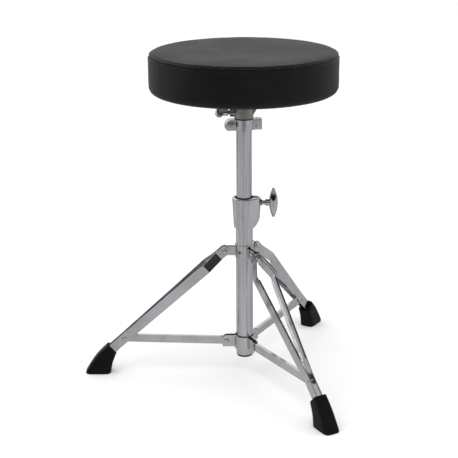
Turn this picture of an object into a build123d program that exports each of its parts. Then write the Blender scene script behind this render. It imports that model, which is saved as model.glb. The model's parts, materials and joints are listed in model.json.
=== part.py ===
from build123d import *
import os
from math import atan2, cos, degrees, hypot, radians, sin, sqrt, tan

# Drum throne: a round padded seat on a telescopic post over a folding double-strip tripod.
# Millimetres, +Z up. The origin is on the column axis at floor level.
# +X points to the height bolt. The left leg lies along -X, the other two at -60 and +60 degrees.

CLEAR = 0.3            # gap between faces on different bodies
RUNNING_FIT = 0.05     # radial gap of a sliding or turning shaft
THREAD_FIT = 0.08      # radial gap of a screw or rivet that turns in its hole

# seat cushion
SEAT_RADIUS = 152.5
SEAT_TOP = 556.0
SEAT_BOTTOM = 492.0
SEAT_EDGE_RADIUS = 7.5
SEAT_BASE_RADIUS = 10.0    # rounding where the side turns under the board
VINYL = 1.2
BOARD_RADIUS = 142.5
BOARD_THICKNESS = 12.0
UNDER_LIP = 23.0       # width of the band folded under the board
STAPLE_COUNT = 20
STAPLE_RING = 136.5
STAPLE_CROWN = 10.0
STAPLE_WIRE = 0.8
STAPLE_LEG = 6.0

# seat receiver
RECEIVER_BOTTOM = 447.4
SOCKET_RADIUS = 15.5
PLATE_SIZE = 96.0
PLATE_THICKNESS = 4.8
PLATE_CORNER = 14.0
RIB_THICKNESS = 5.0
RIBS = {0.0: 452.7, 90.0: 464.0, 270.0: 464.0}    # azimuth of each rib and height of its foot
RIB_FLARE = 0.6             # outward reach of a rib for each unit of its height
SCREW_SPACING = 72.0
SCREW_RADIUS = 3.0
SCREW_HEAD_RADIUS = 6.0
SCREW_HEAD_HEIGHT = 4.0
PAN_SHARE = 0.4             # rounding of the screw head beside its height
SCREW_RECESS = (6.0, 1.2, 3.0)      # length, width and depth of the cross recess
TNUT_RADIUS = 9.0
TNUT_BARREL_RADIUS = 4.2
TNUT_FLANGE = 1.5
LOCK_AXIS_Z = 456.0
LOCK_BOSS_RADIUS = 7.0
LOCK_BOSS_REACH = 22.9
LOCK_BOSS_BEVEL = 1.0
LOCK_SCREW_RADIUS = 3.25
LOCK_HANDLE_X = 39.6

# post and column tubes
POST_RADIUS = 12.7
POST_WALL = 1.5
POST_BOTTOM = 140.0
POST_TOP = 484.0
TUBE_RADIUS = 14.3
TUBE_WALL = 1.2
TUBE_BOTTOM = 35.0
TUBE_TOP = 298.0
CAP_BOTTOM = 31.0
CAP_RADIUS = 13.9
CAP_ROUNDING = 2.5
CAP_PLUG = 12.0
CAP_PLUG_WALL = 2.0

# memory lock on the post
LOCK_BOTTOM = 428.2
LOCK_HEIGHT = 17.7
LOCK_TURN = 10.6            # degrees about the post, from the default front
LOCK_RING_RADIUS = 16.5
LOCK_HALF_DEPTH = 8.0
LOCK_GAP = 1.2
LOCK_LEFT_REACH = 30.7
LOCK_RIGHT_REACH = 29.0
LOCK_CORNER = 9.0
LOCK_LOWER_CORNER = 3.5
LOCK_BLOCK_CORNER = 2.0
KEY_BOLT_X = -21.7
KEY_FLANGE_RADIUS = 6.4
KEY_FLANGE = 1.6
KEY_SQUARE = 6.2
KEY_SQUARE_HEIGHT = 6.0
KEY_SQUARE_BEVEL = 0.7
KEY_TAIL = 5.0
KEY_NUT_RADIUS = 6.0
KEY_NUT_HEIGHT = 4.6
HINGE_X = 20.6
HINGE_PIN_RADIUS = 1.8
HINGE_PIN_BELOW = 1.3
HINGE_PIN_ABOVE = 0.3
KNUCKLE_RADIUS = 5.0
SLIT_X = 18.4
SLIT_LOW = 3.6
SLIT_SIZE = (1.2, 1.5, 6.6)         # width, depth and height of the mark on the hinge block

# height clamp
CLAMP_BOTTOM = 262.4
CLAMP_TOP = 313.5
CLAMP_RADIUS = 20.0
CLAMP_NOSE_RADIUS = 9.8
CLAMP_REACH = 27.8
CLAMP_DRAFT = 3.0
CLAMP_NOSE_SHARE = 0.45     # part of the height over which the nose keeps its reach
CLAMP_BELLY = (24.4, 274.5)
CLAMP_TOE = 15.8
CLAMP_RIM_ROUNDING = 1.4
CLAMP_MOUTH_RADIUS = 16.0
CLAMP_MOUTH_DEPTH = 3.5
KEY_SLOT = (23.2, 9.0)      # reach and width of the slot beside the mouth
BOLT_AXIS_Z = 304.2
PAD_SIZE = 11.6
PAD_BACK = 17.0
PAD_TRAVEL = 2.5
BOLT_RADIUS = 4.0
BOLT_NECK_RADIUS = 3.5
INSERT_RADIUS = 5.0
INSERT_FLANGE_RADIUS = 5.4
INSERT_FLANGE = 1.6
NECK_GAP = 0.4
BOLT_HANDLE_X = 48.4

# cast handle of both bolts: a spindle across the screw
HANDLE_HALF_LENGTH = 25.0
HANDLE_RADIUS = 7.3
HANDLE_TIP_RADIUS = 1.9
HANDLE_TIP_ROUNDING = 1.1
COLLAR_RADIUS = 5.6
COLLAR_REACH = 14.0    # from the spindle axis to the collar's inner face
EDGE_BREAK = 0.8       # bevel of machined ends

# folding tripod, in the plane of one leg: radius from the axis and height
LEG_AZIMUTHS = {"left": 180.0, "front": -60.0, "rear": 60.0}
LEG_PIVOT = (33.5, 220.6)
BRACE_PIVOT = (31.0, 58.4)
KNEE = (206.0, 63.4)
PLATE = 1.5            # pressed steel of hubs and strips
RIVET_RADIUS = 2.5
RIVET_HEAD_RADIUS = 4.9
RIVET_HEAD = 1.7
DOME_SHARE = 0.8            # rounding of a domed head beside its height
TUBULAR_SHARE = 0.7         # rounding of a tubular head beside its height

HUB_RIVET_SHARE = 0.75      # size of the hub rivets' heads beside the pivots'
UPPER_HUB_Z = (210.2, 232.2)
UPPER_EAR_GAP = 2.7    # half the space between a pair of ears
UPPER_EAR_Z = (213.0, 228.2)
UPPER_EAR_REACH = 41.1
UPPER_EAR_CORNERS = (7.5, 7.5)      # rounding of the lower and upper outer corner
LOWER_HUB_Z = (46.0, 68.7)
LOWER_EAR_GAP = 3.3
LOWER_EAR_Z = (48.0, 68.0)
LOWER_EAR_REACH = 38.0
LOWER_EAR_CORNERS = (1.5, 8.0)
SLIDER_WALL = 2.0
SLIDER_LIP = 1.0       # how far the plates stand above the slider's bushing

STRIP_HALF_WIDTH = 8.0
STRIP_END = 286.0
STRIP_AT_PIVOT = 6.0   # outer face of a strip, measured from the leg's middle plane
STRIP_AT_FLARE = 17.5
STRIP_AT_KNEE = 5.5
FLARE_START = 13.0
FLARE_END = 41.0
FLANGE = 3.5
FLANGE_START = 46.0
FLANGE_END = 200.0
BEND_RADIUS = 10.0

BRACE_HALF_HEIGHT = 6.5
BRACE_HALF_WIDTH = 3.0
BRACE_WALL = 1.2
BRACE_WEB_SETBACK = 10.0
BUSH_RADIUS = 4.0

FOOT_MOUTH = 263.5     # distance from the leg pivot to the boot's mouth
FOOT_MOUTH_SIZE = (23.0, 24.0)
SOLE_START = 231.0
SOLE_LENGTH = 43.0
SOLE_WIDTH = 28.0
SOLE_EDGE = 4.0
BOOT_CORNER = 3.0

LEG_SLOPE = degrees(atan2(LEG_PIVOT[1] - KNEE[1], KNEE[0] - LEG_PIVOT[0]))
LEG_TO_KNEE = hypot(KNEE[0] - LEG_PIVOT[0], LEG_PIVOT[1] - KNEE[1])
BRACE_SLOPE = degrees(atan2(KNEE[1] - BRACE_PIVOT[1], KNEE[0] - BRACE_PIVOT[0]))
BRACE_LENGTH = hypot(KNEE[0] - BRACE_PIVOT[0], KNEE[1] - BRACE_PIVOT[1])


def save(shape, name):
    """Write one sub-part; a list becomes a group of separate solids."""
    os.makedirs("parts", exist_ok=True)
    if isinstance(shape, list):
        shape = Compound(children=shape)
    shape.label = name
    export_step(shape, f"parts/{name}.step")


def tube(outer, inner, low, high):
    """Round tube along Z from height low to height high."""
    ring = Circle(outer) - Circle(inner)
    return Pos(0, 0, low) * extrude(ring, high - low)


def rod_x(radius, start, end, height):
    """Round rod along X at a height, from x = start to x = end."""
    low, high = min(start, end), max(start, end)
    return Pos(low, 0, height) * (Rot(0, 90, 0) * extrude(Circle(radius), high - low))


def rod_y(radius, start, end, x, height):
    """Round rod along Y, from y = start to y = end."""
    return Pos(x, end, height) * (Rot(90, 0, 0) * extrude(Circle(radius), end - start))


def block(x_range, y_range, z_range):
    """Box between two corners."""
    sizes = [high - low for low, high in (x_range, y_range, z_range)]
    corner = [low for low, high in (x_range, y_range, z_range)]
    return Pos(*corner) * Box(*sizes, align=(Align.MIN, Align.MIN, Align.MIN))


def rivet_head(outer_face, sign):
    """Domed head on the XZ plane whose flat side lies at y = sign * outer_face."""
    dome = extrude(Circle(RIVET_HEAD_RADIUS), RIVET_HEAD)
    dome = fillet(dome.faces().sort_by(Axis.Z)[-1].edges(), RIVET_HEAD * DOME_SHARE)
    return Pos(0, sign * outer_face, 0) * (Rot(-90 * sign, 0, 0) * dome)


def at_leg(shape, name):
    """Turn a shape built in the XZ plane to the azimuth of one leg."""
    return Rot(0, 0, LEG_AZIMUTHS[name]) * shape


# ---------------------------------------------------------------- seat cushion

def seat_shell_outline(inset):
    """Right half of the cushion's outline above the seam, moved inwards by inset."""
    radius = SEAT_RADIUS - inset
    top = SEAT_TOP - inset
    edge = SEAT_EDGE_RADIUS - inset
    seam = SEAT_TOP - SEAT_EDGE_RADIUS
    corner = (radius - edge * (1 - cos(radians(45))), 0, top - edge * (1 - sin(radians(45))))
    flat = Line((0, 0, top), (radius - edge, 0, top))
    bend = ThreePointArc((radius - edge, 0, top), corner, (radius, 0, seam))
    return flat, bend, radius, seam


def seat_base_outline(inset):
    """Cushion's outline from the seam down and round to the folded lip, moved inwards by inset."""
    radius = SEAT_RADIUS - inset
    low = SEAT_BOTTOM + inset
    edge = SEAT_BASE_RADIUS - inset
    corner = (radius - edge * (1 - cos(radians(45))), 0, low + edge * (1 - sin(radians(45))))
    side = Line((radius, 0, SEAT_TOP - SEAT_EDGE_RADIUS), (radius, 0, low + edge))
    bend = ThreePointArc((radius, 0, low + edge), corner, (radius - edge, 0, low))
    bottom = Line((radius - edge, 0, low), (SEAT_RADIUS - UNDER_LIP, 0, low))
    return side, bend, bottom


def top_panel():
    flat, bend, outer_radius, seam = seat_shell_outline(0)
    inner_flat, inner_bend, inner_radius, _ = seat_shell_outline(VINYL)
    rim = Line((outer_radius, 0, seam), (inner_radius, 0, seam))
    axis_end = Line((0, 0, SEAT_TOP - VINYL), (0, 0, SEAT_TOP))
    return revolve(make_face(Curve() + [flat, bend, rim, inner_bend, inner_flat, axis_end]), Axis.Z)


def seat_foam():
    """Foam over the board and round its side, down to the folded band."""
    flat, bend, _, _ = seat_shell_outline(VINYL)
    low = SEAT_BOTTOM + VINYL
    inner = Line((SEAT_RADIUS - UNDER_LIP, 0, low), (0, 0, low))
    axis_side = Line((0, 0, low), (0, 0, SEAT_TOP - VINYL))
    outline = [flat, bend, *seat_base_outline(VINYL), inner, axis_side]
    board_room = Pos(0, 0, low) * extrude(Circle(BOARD_RADIUS), BOARD_THICKNESS)
    return revolve(make_face(Curve() + outline), Axis.Z) - board_room


def staples():
    """Ring of wire staples through the folded lip into the board."""
    half = STAPLE_CROWN / 2
    wire = (STAPLE_RING, STAPLE_RING + STAPLE_WIRE)
    crown = block(wire, (-half, half), (SEAT_BOTTOM - STAPLE_WIRE, SEAT_BOTTOM))
    leg_z = (SEAT_BOTTOM, SEAT_BOTTOM + STAPLE_LEG)
    legs = [block(wire, (y, y + STAPLE_WIRE), leg_z) for y in (-half, half - STAPLE_WIRE)]
    one = crown + legs
    return [Rot(0, 0, 360 * i / STAPLE_COUNT) * one for i in range(STAPLE_COUNT)]


def side_band():
    """Band of vinyl from the seam to the bottom edge, folded under the board."""
    seam = SEAT_TOP - SEAT_EDGE_RADIUS
    lip = SEAT_RADIUS - UNDER_LIP
    edge = Line((lip, 0, SEAT_BOTTOM), (lip, 0, SEAT_BOTTOM + VINYL))
    rim = Line((SEAT_RADIUS, 0, seam), (SEAT_RADIUS - VINYL, 0, seam))
    outline = [*seat_base_outline(0), edge, *seat_base_outline(VINYL), rim]
    return revolve(make_face(Curve() + outline), Axis.Z) - staples()


def screw_places():
    half = SCREW_SPACING / 2
    return [Pos(x, y, 0) for x in (-half, half) for y in (-half, half)]


def base_board():
    low = SEAT_BOTTOM + VINYL
    high = low + BOARD_THICKNESS
    board = Pos(0, 0, low) * extrude(Circle(BOARD_RADIUS), BOARD_THICKNESS)
    hole = Pos(0, 0, low) * extrude(Circle(TNUT_BARREL_RADIUS), BOARD_THICKNESS)
    seat = Pos(0, 0, high - TNUT_FLANGE) * extrude(Circle(TNUT_RADIUS), TNUT_FLANGE)
    return board - [place * (hole + seat) for place in screw_places()] - staples()


def dust_cover():
    disc = Circle(SEAT_RADIUS - UNDER_LIP)
    disc -= [place * Circle(TNUT_BARREL_RADIUS) for place in screw_places()]
    return Pos(0, 0, SEAT_BOTTOM) * extrude(disc, VINYL)


def t_nuts():
    high = SEAT_BOTTOM + VINYL + BOARD_THICKNESS
    barrel = tube(TNUT_BARREL_RADIUS, SCREW_RADIUS, SEAT_BOTTOM + VINYL, high)
    flange = tube(TNUT_RADIUS, SCREW_RADIUS, high - TNUT_FLANGE, high)
    return [place * (barrel + flange) for place in screw_places()]


def receiver_screws():
    """Pan-head machine screws with a cross recess, up through the plate into the T-nuts."""
    head_top = SEAT_BOTTOM - PLATE_THICKNESS
    head = Pos(0, 0, head_top - SCREW_HEAD_HEIGHT) * extrude(Circle(SCREW_HEAD_RADIUS), SCREW_HEAD_HEIGHT)
    head = fillet(head.faces().sort_by(Axis.Z)[0].edges(), SCREW_HEAD_HEIGHT * PAN_SHARE)
    recess_length, recess_width, recess_depth = SCREW_RECESS
    recess = Box(recess_length, recess_width, recess_depth) + Box(recess_width, recess_length, recess_depth)
    head -= Pos(0, 0, head_top - SCREW_HEAD_HEIGHT) * recess
    shank_length = PLATE_THICKNESS + BOARD_THICKNESS
    shank = Pos(0, 0, head_top) * extrude(Circle(SCREW_RADIUS), shank_length)
    return [place * (head + shank) for place in screw_places()]


# ---------------------------------------------------------------- seat receiver

def seat_receiver():
    """Cast socket with a screw plate, three ribs and the lock bolt's boss."""
    plate_low = SEAT_BOTTOM - PLATE_THICKNESS
    plate = RectangleRounded(PLATE_SIZE, PLATE_SIZE, PLATE_CORNER)
    plate -= [place * Circle(SCREW_RADIUS) for place in screw_places()]
    body = Pos(0, 0, plate_low) * extrude(plate, PLATE_THICKNESS)
    body += Pos(0, 0, RECEIVER_BOTTOM) * extrude(Circle(SOCKET_RADIUS), plate_low - RECEIVER_BOTTOM)
    for azimuth, start in RIBS.items():
        reach = SOCKET_RADIUS + (plate_low - start) * RIB_FLARE
        profile = Polyline((0, 0, start), (SOCKET_RADIUS, 0, start), (reach, 0, plate_low),
                           (0, 0, plate_low), close=True)
        body += Rot(0, 0, azimuth) * extrude(make_face(profile), RIB_THICKNESS / 2, both=True)
    body += block((-LOCK_BOSS_REACH, 0), (-RIB_THICKNESS / 2, RIB_THICKNESS / 2), (LOCK_AXIS_Z, plate_low))
    boss = rod_x(LOCK_BOSS_RADIUS, 0, -LOCK_BOSS_REACH, LOCK_AXIS_Z)
    body += chamfer(boss.faces().sort_by(Axis.X)[0].edges(), LOCK_BOSS_BEVEL)
    body -= Pos(0, 0, RECEIVER_BOTTOM) * extrude(
        Circle(POST_RADIUS + RUNNING_FIT), POST_TOP + CLEAR * 2 - RECEIVER_BOTTOM)
    return body - rod_x(LOCK_SCREW_RADIUS + THREAD_FIT, 0, -LOCK_BOSS_REACH, LOCK_AXIS_Z)


def bolt_handle(screw_radius):
    """Cast spindle along Z with a collar towards -X that holds the end of the screw."""
    tip, length = HANDLE_TIP_RADIUS, HANDLE_HALF_LENGTH
    side = ThreePointArc((tip, 0, -length), (HANDLE_RADIUS, 0, 0), (tip, 0, length))
    ends = Polyline((tip, 0, length), (0, 0, length), (0, 0, -length), (tip, 0, -length))
    spindle = revolve(make_face(Curve() + [side, *ends.edges()]), Axis.Z)
    rims = spindle.edges().filter_by(GeomType.CIRCLE).filter_by(lambda rim: rim.radius < HANDLE_RADIUS)
    spindle = fillet(rims, HANDLE_TIP_ROUNDING)
    collar = rod_x(COLLAR_RADIUS, -COLLAR_REACH, 0, 0)
    collar = chamfer(collar.faces().sort_by(Axis.X)[0].edges(), EDGE_BREAK)
    return spindle + collar - rod_x(screw_radius, -COLLAR_REACH, -HANDLE_RADIUS, 0)


def lock_handle():
    turned = Rot(0, 0, 180) * (Rot(90, 0, 0) * bolt_handle(LOCK_SCREW_RADIUS))
    return Pos(-LOCK_HANDLE_X, 0, LOCK_AXIS_Z) * turned


def lock_screw():
    start = POST_RADIUS + CLEAR
    screw = rod_x(LOCK_SCREW_RADIUS, -start, -LOCK_HANDLE_X + HANDLE_RADIUS, LOCK_AXIS_Z)
    tip = screw.faces().sort_by(Axis.X)[-1].edges()
    return chamfer(tip, EDGE_BREAK)


# ---------------------------------------------------------------- memory lock

def lock_turned(shape):
    """A piece of the memory lock turned about the post to the angle at which it is clamped."""
    return Rot(0, 0, LOCK_TURN) * shape


def lock_body():
    """Whole memory lock before it is split: ring, left lug and right hinge block."""
    top = LOCK_BOTTOM + LOCK_HEIGHT
    z_range = (LOCK_BOTTOM, top)
    depth = (-LOCK_HALF_DEPTH, LOCK_HALF_DEPTH)
    ring = Pos(0, 0, LOCK_BOTTOM) * extrude(Circle(LOCK_RING_RADIUS), LOCK_HEIGHT)
    left = block((-LOCK_LEFT_REACH, 0), depth, z_range)
    corner = left.edges().filter_by(Axis.Y).group_by(Axis.X)[0].sort_by(Axis.Z)
    left = fillet(corner[-1], LOCK_CORNER)
    corner = left.edges().filter_by(Axis.Y).group_by(Axis.X)[0].sort_by(Axis.Z)
    left = fillet(corner[0], LOCK_LOWER_CORNER)
    right = block((0, LOCK_RIGHT_REACH), depth, z_range)
    right = fillet(right.edges().filter_by(Axis.Z).group_by(Axis.X)[-1], LOCK_BLOCK_CORNER)
    bore = Pos(0, 0, LOCK_BOTTOM) * extrude(Circle(POST_RADIUS + RUNNING_FIT), LOCK_HEIGHT)
    pin_hole = Pos(HINGE_X, 0, LOCK_BOTTOM) * extrude(Circle(HINGE_PIN_RADIUS), LOCK_HEIGHT)
    body = ring + left + right - bore - pin_hole
    key_z = LOCK_BOTTOM + LOCK_HEIGHT / 2
    return body - rod_y(SCREW_RADIUS, -LOCK_HALF_DEPTH, LOCK_HALF_DEPTH, KEY_BOLT_X, key_z)


def hinge_knuckle(low, high):
    """Cylinder around the hinge pin between two heights."""
    return Pos(HINGE_X, 0, low) * extrude(Circle(KNUCKLE_RADIUS), high - low)


def lock_halves():
    """Front and rear halves, with three hinge knuckles that interleave."""
    wide = LOCK_LEFT_REACH + LOCK_RIGHT_REACH
    top = LOCK_BOTTOM + LOCK_HEIGHT
    third = LOCK_HEIGHT / 3
    z_range = (LOCK_BOTTOM, top)
    front_zone = block((-wide, wide), (-wide, -LOCK_GAP / 2), z_range)
    rear_zone = block((-wide, wide), (LOCK_GAP / 2, wide), z_range)
    pin = Pos(HINGE_X, 0, LOCK_BOTTOM) * extrude(Circle(HINGE_PIN_RADIUS), LOCK_HEIGHT)
    middle = (LOCK_BOTTOM + third, top - third)
    outer_pair = [(LOCK_BOTTOM, LOCK_BOTTOM + third), (top - third, top)]
    whole = lock_body()
    front = (whole & front_zone) - [hinge_knuckle(*span) for span in outer_pair]
    front = front + hinge_knuckle(*middle) - pin
    width, deep, high = SLIT_SIZE
    slit_z = LOCK_BOTTOM + SLIT_LOW
    front -= block((SLIT_X - width / 2, SLIT_X + width / 2), (-LOCK_HALF_DEPTH, -LOCK_HALF_DEPTH + deep),
                   (slit_z, slit_z + high))
    rear = (whole & rear_zone) - hinge_knuckle(*middle)
    rear = rear + [hinge_knuckle(*span) for span in outer_pair] - pin
    return lock_turned(front), lock_turned(rear)


def hinge_pin():
    length = HINGE_PIN_BELOW + LOCK_HEIGHT + HINGE_PIN_ABOVE
    pin = Pos(HINGE_X, 0, LOCK_BOTTOM - HINGE_PIN_BELOW) * extrude(Circle(HINGE_PIN_RADIUS), length)
    return lock_turned(pin)


def key_bolt():
    """Square-headed drum key bolt with a round flange, facing the front."""
    z = LOCK_BOTTOM + LOCK_HEIGHT / 2
    face = -LOCK_HALF_DEPTH
    flange = rod_y(KEY_FLANGE_RADIUS, face - KEY_FLANGE, face, KEY_BOLT_X, z)
    flange = fillet(flange.faces().sort_by(Axis.Y)[0].edges(), KEY_FLANGE / 2)
    middle = Pos(KEY_BOLT_X, face - KEY_FLANGE - KEY_SQUARE_HEIGHT / 2, z)
    square = middle * Box(KEY_SQUARE, KEY_SQUARE_HEIGHT, KEY_SQUARE)
    square = chamfer(square.faces().sort_by(Axis.Y)[0].edges(), KEY_SQUARE_BEVEL)
    shank = rod_y(SCREW_RADIUS, face, LOCK_HALF_DEPTH + KEY_TAIL, KEY_BOLT_X, z)
    return lock_turned(flange + square + shank)


def key_nut():
    z = LOCK_BOTTOM + LOCK_HEIGHT / 2
    nut = extrude(RegularPolygon(KEY_NUT_RADIUS, 6) - Circle(SCREW_RADIUS), KEY_NUT_HEIGHT)
    return lock_turned(Pos(KEY_BOLT_X, LOCK_HALF_DEPTH + KEY_NUT_HEIGHT, z) * (Rot(90, 0, 0) * nut))


# ---------------------------------------------------------------- height clamp

def pad_pocket():
    """Room for the pad in the clamp and its bushing."""
    half = PAD_SIZE / 2 + CLEAR
    reach = PAD_BACK + PAD_TRAVEL + CLEAR
    return block((0, reach), (-half, half), (BOLT_AXIS_Z - half, BOLT_AXIS_Z + half))


def height_clamp():
    """Drafted casting, teardrop in plan, with an open mouth and a key slot beside it."""
    nose_x = CLAMP_REACH - CLAMP_NOSE_RADIUS
    nose = Pos(nose_x, 0) * Circle(CLAMP_NOSE_RADIUS)
    outline = make_hull([*Circle(CLAMP_RADIUS).edges(), *nose.edges()])
    height = CLAMP_TOP - CLAMP_BOTTOM
    body = Pos(0, 0, CLAMP_TOP) * extrude(outline, height, dir=(0, 0, -1), taper=CLAMP_DRAFT)
    nose_low = CLAMP_TOP - height * CLAMP_NOSE_SHARE
    back, front = -CLAMP_RADIUS * 2, CLAMP_REACH * 2
    belly_x, belly_z = CLAMP_BELLY
    side = [
        Line((back, 0, CLAMP_TOP), (front, 0, CLAMP_TOP)),
        Line((front, 0, CLAMP_TOP), (front, 0, nose_low)),
        Line((front, 0, nose_low), (CLAMP_REACH, 0, nose_low)),
        ThreePointArc((CLAMP_REACH, 0, nose_low), (belly_x, 0, belly_z), (CLAMP_TOE, 0, CLAMP_BOTTOM)),
        Line((CLAMP_TOE, 0, CLAMP_BOTTOM), (back, 0, CLAMP_BOTTOM)),
        Line((back, 0, CLAMP_BOTTOM), (back, 0, CLAMP_TOP)),
    ]
    body &= extrude(make_face(Curve() + side), CLAMP_RADIUS * 2, both=True)
    body = fillet(body.faces().sort_by(Axis.Z)[-1].edges(), CLAMP_RIM_ROUNDING)
    body -= Pos(0, 0, CLAMP_BOTTOM) * extrude(Circle(TUBE_RADIUS), height)
    body -= Pos(0, 0, TUBE_TOP) * extrude(Circle(CLAMP_MOUTH_RADIUS), height)
    slot_floor = BOLT_AXIS_Z + PAD_SIZE / 2 + CLEAR
    slot_reach, slot_width = KEY_SLOT
    body -= block((0, slot_reach), (-slot_width / 2, slot_width / 2), (slot_floor, CLAMP_TOP))
    return body - pad_pocket() - rod_x(INSERT_RADIUS, 0, CLAMP_REACH, BOLT_AXIS_Z)


def clamp_bushing():
    ring = tube(CLAMP_MOUTH_RADIUS, POST_RADIUS + RUNNING_FIT, TUBE_TOP, CLAMP_TOP - CLAMP_MOUTH_DEPTH)
    half = PAD_SIZE / 2 + CLEAR
    return ring - block((0, CLAMP_REACH), (-half, half), (TUBE_TOP, CLAMP_TOP))


def thread_insert():
    """Flanged threaded sleeve in the clamp's nose."""
    inner_end = PAD_BACK + PAD_TRAVEL + CLEAR
    body = rod_x(INSERT_RADIUS, inner_end, CLAMP_REACH, BOLT_AXIS_Z)
    body += rod_x(INSERT_FLANGE_RADIUS, CLAMP_REACH, CLAMP_REACH + INSERT_FLANGE, BOLT_AXIS_Z)
    return body - rod_x(BOLT_RADIUS + THREAD_FIT, 0, CLAMP_REACH + INSERT_FLANGE, BOLT_AXIS_Z)


def clamp_pad():
    """Shoe with a hollow face that the height bolt presses against the post."""
    half = PAD_SIZE / 2
    pad = block((0, PAD_BACK), (-half, half), (BOLT_AXIS_Z - half, BOLT_AXIS_Z + half))
    hollow = Pos(0, 0, BOLT_AXIS_Z - PAD_SIZE) * extrude(Circle(POST_RADIUS + CLEAR), PAD_SIZE * 2)
    return (pad - hollow).solids().sort_by(Axis.X)[-1]


def bolt_screw():
    collar = BOLT_HANDLE_X - COLLAR_REACH
    thread_end = CLAMP_REACH + INSERT_FLANGE + NECK_GAP
    thread = rod_x(BOLT_RADIUS, PAD_BACK + CLEAR, thread_end, BOLT_AXIS_Z)
    thread = chamfer(thread.faces().sort_by(Axis.X)[0].edges(), EDGE_BREAK)
    return thread + rod_x(BOLT_NECK_RADIUS, thread_end, collar + COLLAR_REACH - HANDLE_RADIUS, BOLT_AXIS_Z)


# ---------------------------------------------------------------- column

def end_cap():
    """Plastic plug that closes the lower end of the outer tube."""
    rim = Pos(0, 0, CAP_BOTTOM) * extrude(Circle(CAP_RADIUS), TUBE_BOTTOM - CAP_BOTTOM)
    rim = fillet(rim.faces().sort_by(Axis.Z)[0].edges(), CAP_ROUNDING)
    bore = TUBE_RADIUS - TUBE_WALL
    plug = tube(bore, bore - CAP_PLUG_WALL, TUBE_BOTTOM, TUBE_BOTTOM + CAP_PLUG)
    return rim + plug


def hub_ear(root, reach, z_range, corners):
    """Flat ear in the XZ plane, its lower and upper outer corners rounded."""
    ear = block((root, reach), (-PLATE / 2, PLATE / 2), z_range)
    for turn, rounding in zip((0, -1), corners):
        across = ear.edges().filter_by(Axis.Y).filter_by(GeomType.LINE)
        ear = fillet(across.sort_by(Axis.X)[-2:].sort_by(Axis.Z)[turn], rounding)
    return ear


def hub_plate(inner_radius, z_range, pivot, ear_gap, ear):
    """One pressed third of a hub: a band round the tube and an ear for each neighbouring leg.

    The band's middle lies along +X, and the legs beside it at -60 and +60 degrees.
    """
    low, high = z_range
    outer = inner_radius + PLATE
    band = Circle(outer) - Circle(inner_radius)
    far = outer * 2
    side = far * tan(radians(60))
    wedge = make_face(Polyline((0, 0), (far, side), (far, -side), close=True))
    band &= wedge
    slot = Rectangle(far, ear_gap * 2, align=(Align.MIN, Align.CENTER))
    band -= [Rot(0, 0, turn) * slot for turn in (-60, 60)]
    body = Pos(0, 0, low) * extrude(band, high - low)
    root = sqrt(inner_radius ** 2 - ear_gap ** 2)
    flat = hub_ear(root, *ear)
    radius, height = pivot
    flat -= rod_y(RIVET_RADIUS, -PLATE, PLATE, radius, height)
    offset = ear_gap + PLATE / 2
    body += Rot(0, 0, 60) * (Pos(0, -offset, 0) * flat)
    body += Rot(0, 0, -60) * (Pos(0, offset, 0) * flat)
    return body


def fixing_hole(radius):
    """Radial hole along +X through the hub band and the tube at mid-height of the upper hub."""
    return rod_x(radius, 0, TUBE_RADIUS + PLATE * 2, LEG_PIVOT[1])


def fixing_rivets():
    """Three rivets that hold the upper hub plates to the outer tube."""
    outer = TUBE_RADIUS + PLATE
    shank = rod_x(RIVET_RADIUS, TUBE_RADIUS - TUBE_WALL + CLEAR / 2, outer, LEG_PIVOT[1])
    head = rod_x(RIVET_HEAD_RADIUS * HUB_RIVET_SHARE, outer - CLEAR, outer + RIVET_HEAD, LEG_PIVOT[1])
    head = fillet(head.faces().sort_by(Axis.X)[-1].edges(), RIVET_HEAD * TUBULAR_SHARE)
    inside = Pos(0, 0, UPPER_HUB_Z[0]) * extrude(Circle(outer), UPPER_HUB_Z[1] - UPPER_HUB_Z[0])
    one = (head - inside) + shank
    return [Rot(0, 0, azimuth + 60) * one for azimuth in LEG_AZIMUTHS.values()]


def upper_hub_plates():
    ear = (UPPER_EAR_REACH, UPPER_EAR_Z, UPPER_EAR_CORNERS)
    plate = hub_plate(TUBE_RADIUS, UPPER_HUB_Z, LEG_PIVOT, UPPER_EAR_GAP, ear)
    plate -= fixing_hole(RIVET_RADIUS)
    return [Rot(0, 0, azimuth + 60) * plate for azimuth in LEG_AZIMUTHS.values()]


def outer_tube():
    body = tube(TUBE_RADIUS, TUBE_RADIUS - TUBE_WALL, TUBE_BOTTOM, TUBE_TOP)
    hole = fixing_hole(RIVET_RADIUS)
    return body - [Rot(0, 0, azimuth + 60) * hole for azimuth in LEG_AZIMUTHS.values()]


def pivot_rivet(pivot, head_face):
    """Rivet across a pair of ears with a domed head at each end."""
    radius, height = pivot
    shank = rod_y(RIVET_RADIUS, -head_face, head_face, radius, height)
    place = Pos(radius, 0, height)
    return shank + [place * rivet_head(head_face, sign) for sign in (-1, 1)]


# ---------------------------------------------------------------- legs and braces

def strip_path(inset):
    """Plan of a strip's face: distance along the leg against distance from the leg's middle."""
    return [
        (-STRIP_HALF_WIDTH, STRIP_AT_PIVOT - inset),
        (FLARE_START, STRIP_AT_PIVOT - inset),
        (FLARE_END, STRIP_AT_FLARE - inset),
        (LEG_TO_KNEE - STRIP_HALF_WIDTH, STRIP_AT_KNEE - inset),
        (STRIP_END, STRIP_AT_KNEE - inset),
    ]


def strip_offset(distance):
    """Outer face of the converging stretch at a distance along the leg."""
    knee = LEG_TO_KNEE - STRIP_HALF_WIDTH
    part = (distance - FLARE_END) / (knee - FLARE_END)
    return STRIP_AT_FLARE + part * (STRIP_AT_KNEE - STRIP_AT_FLARE)


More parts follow.
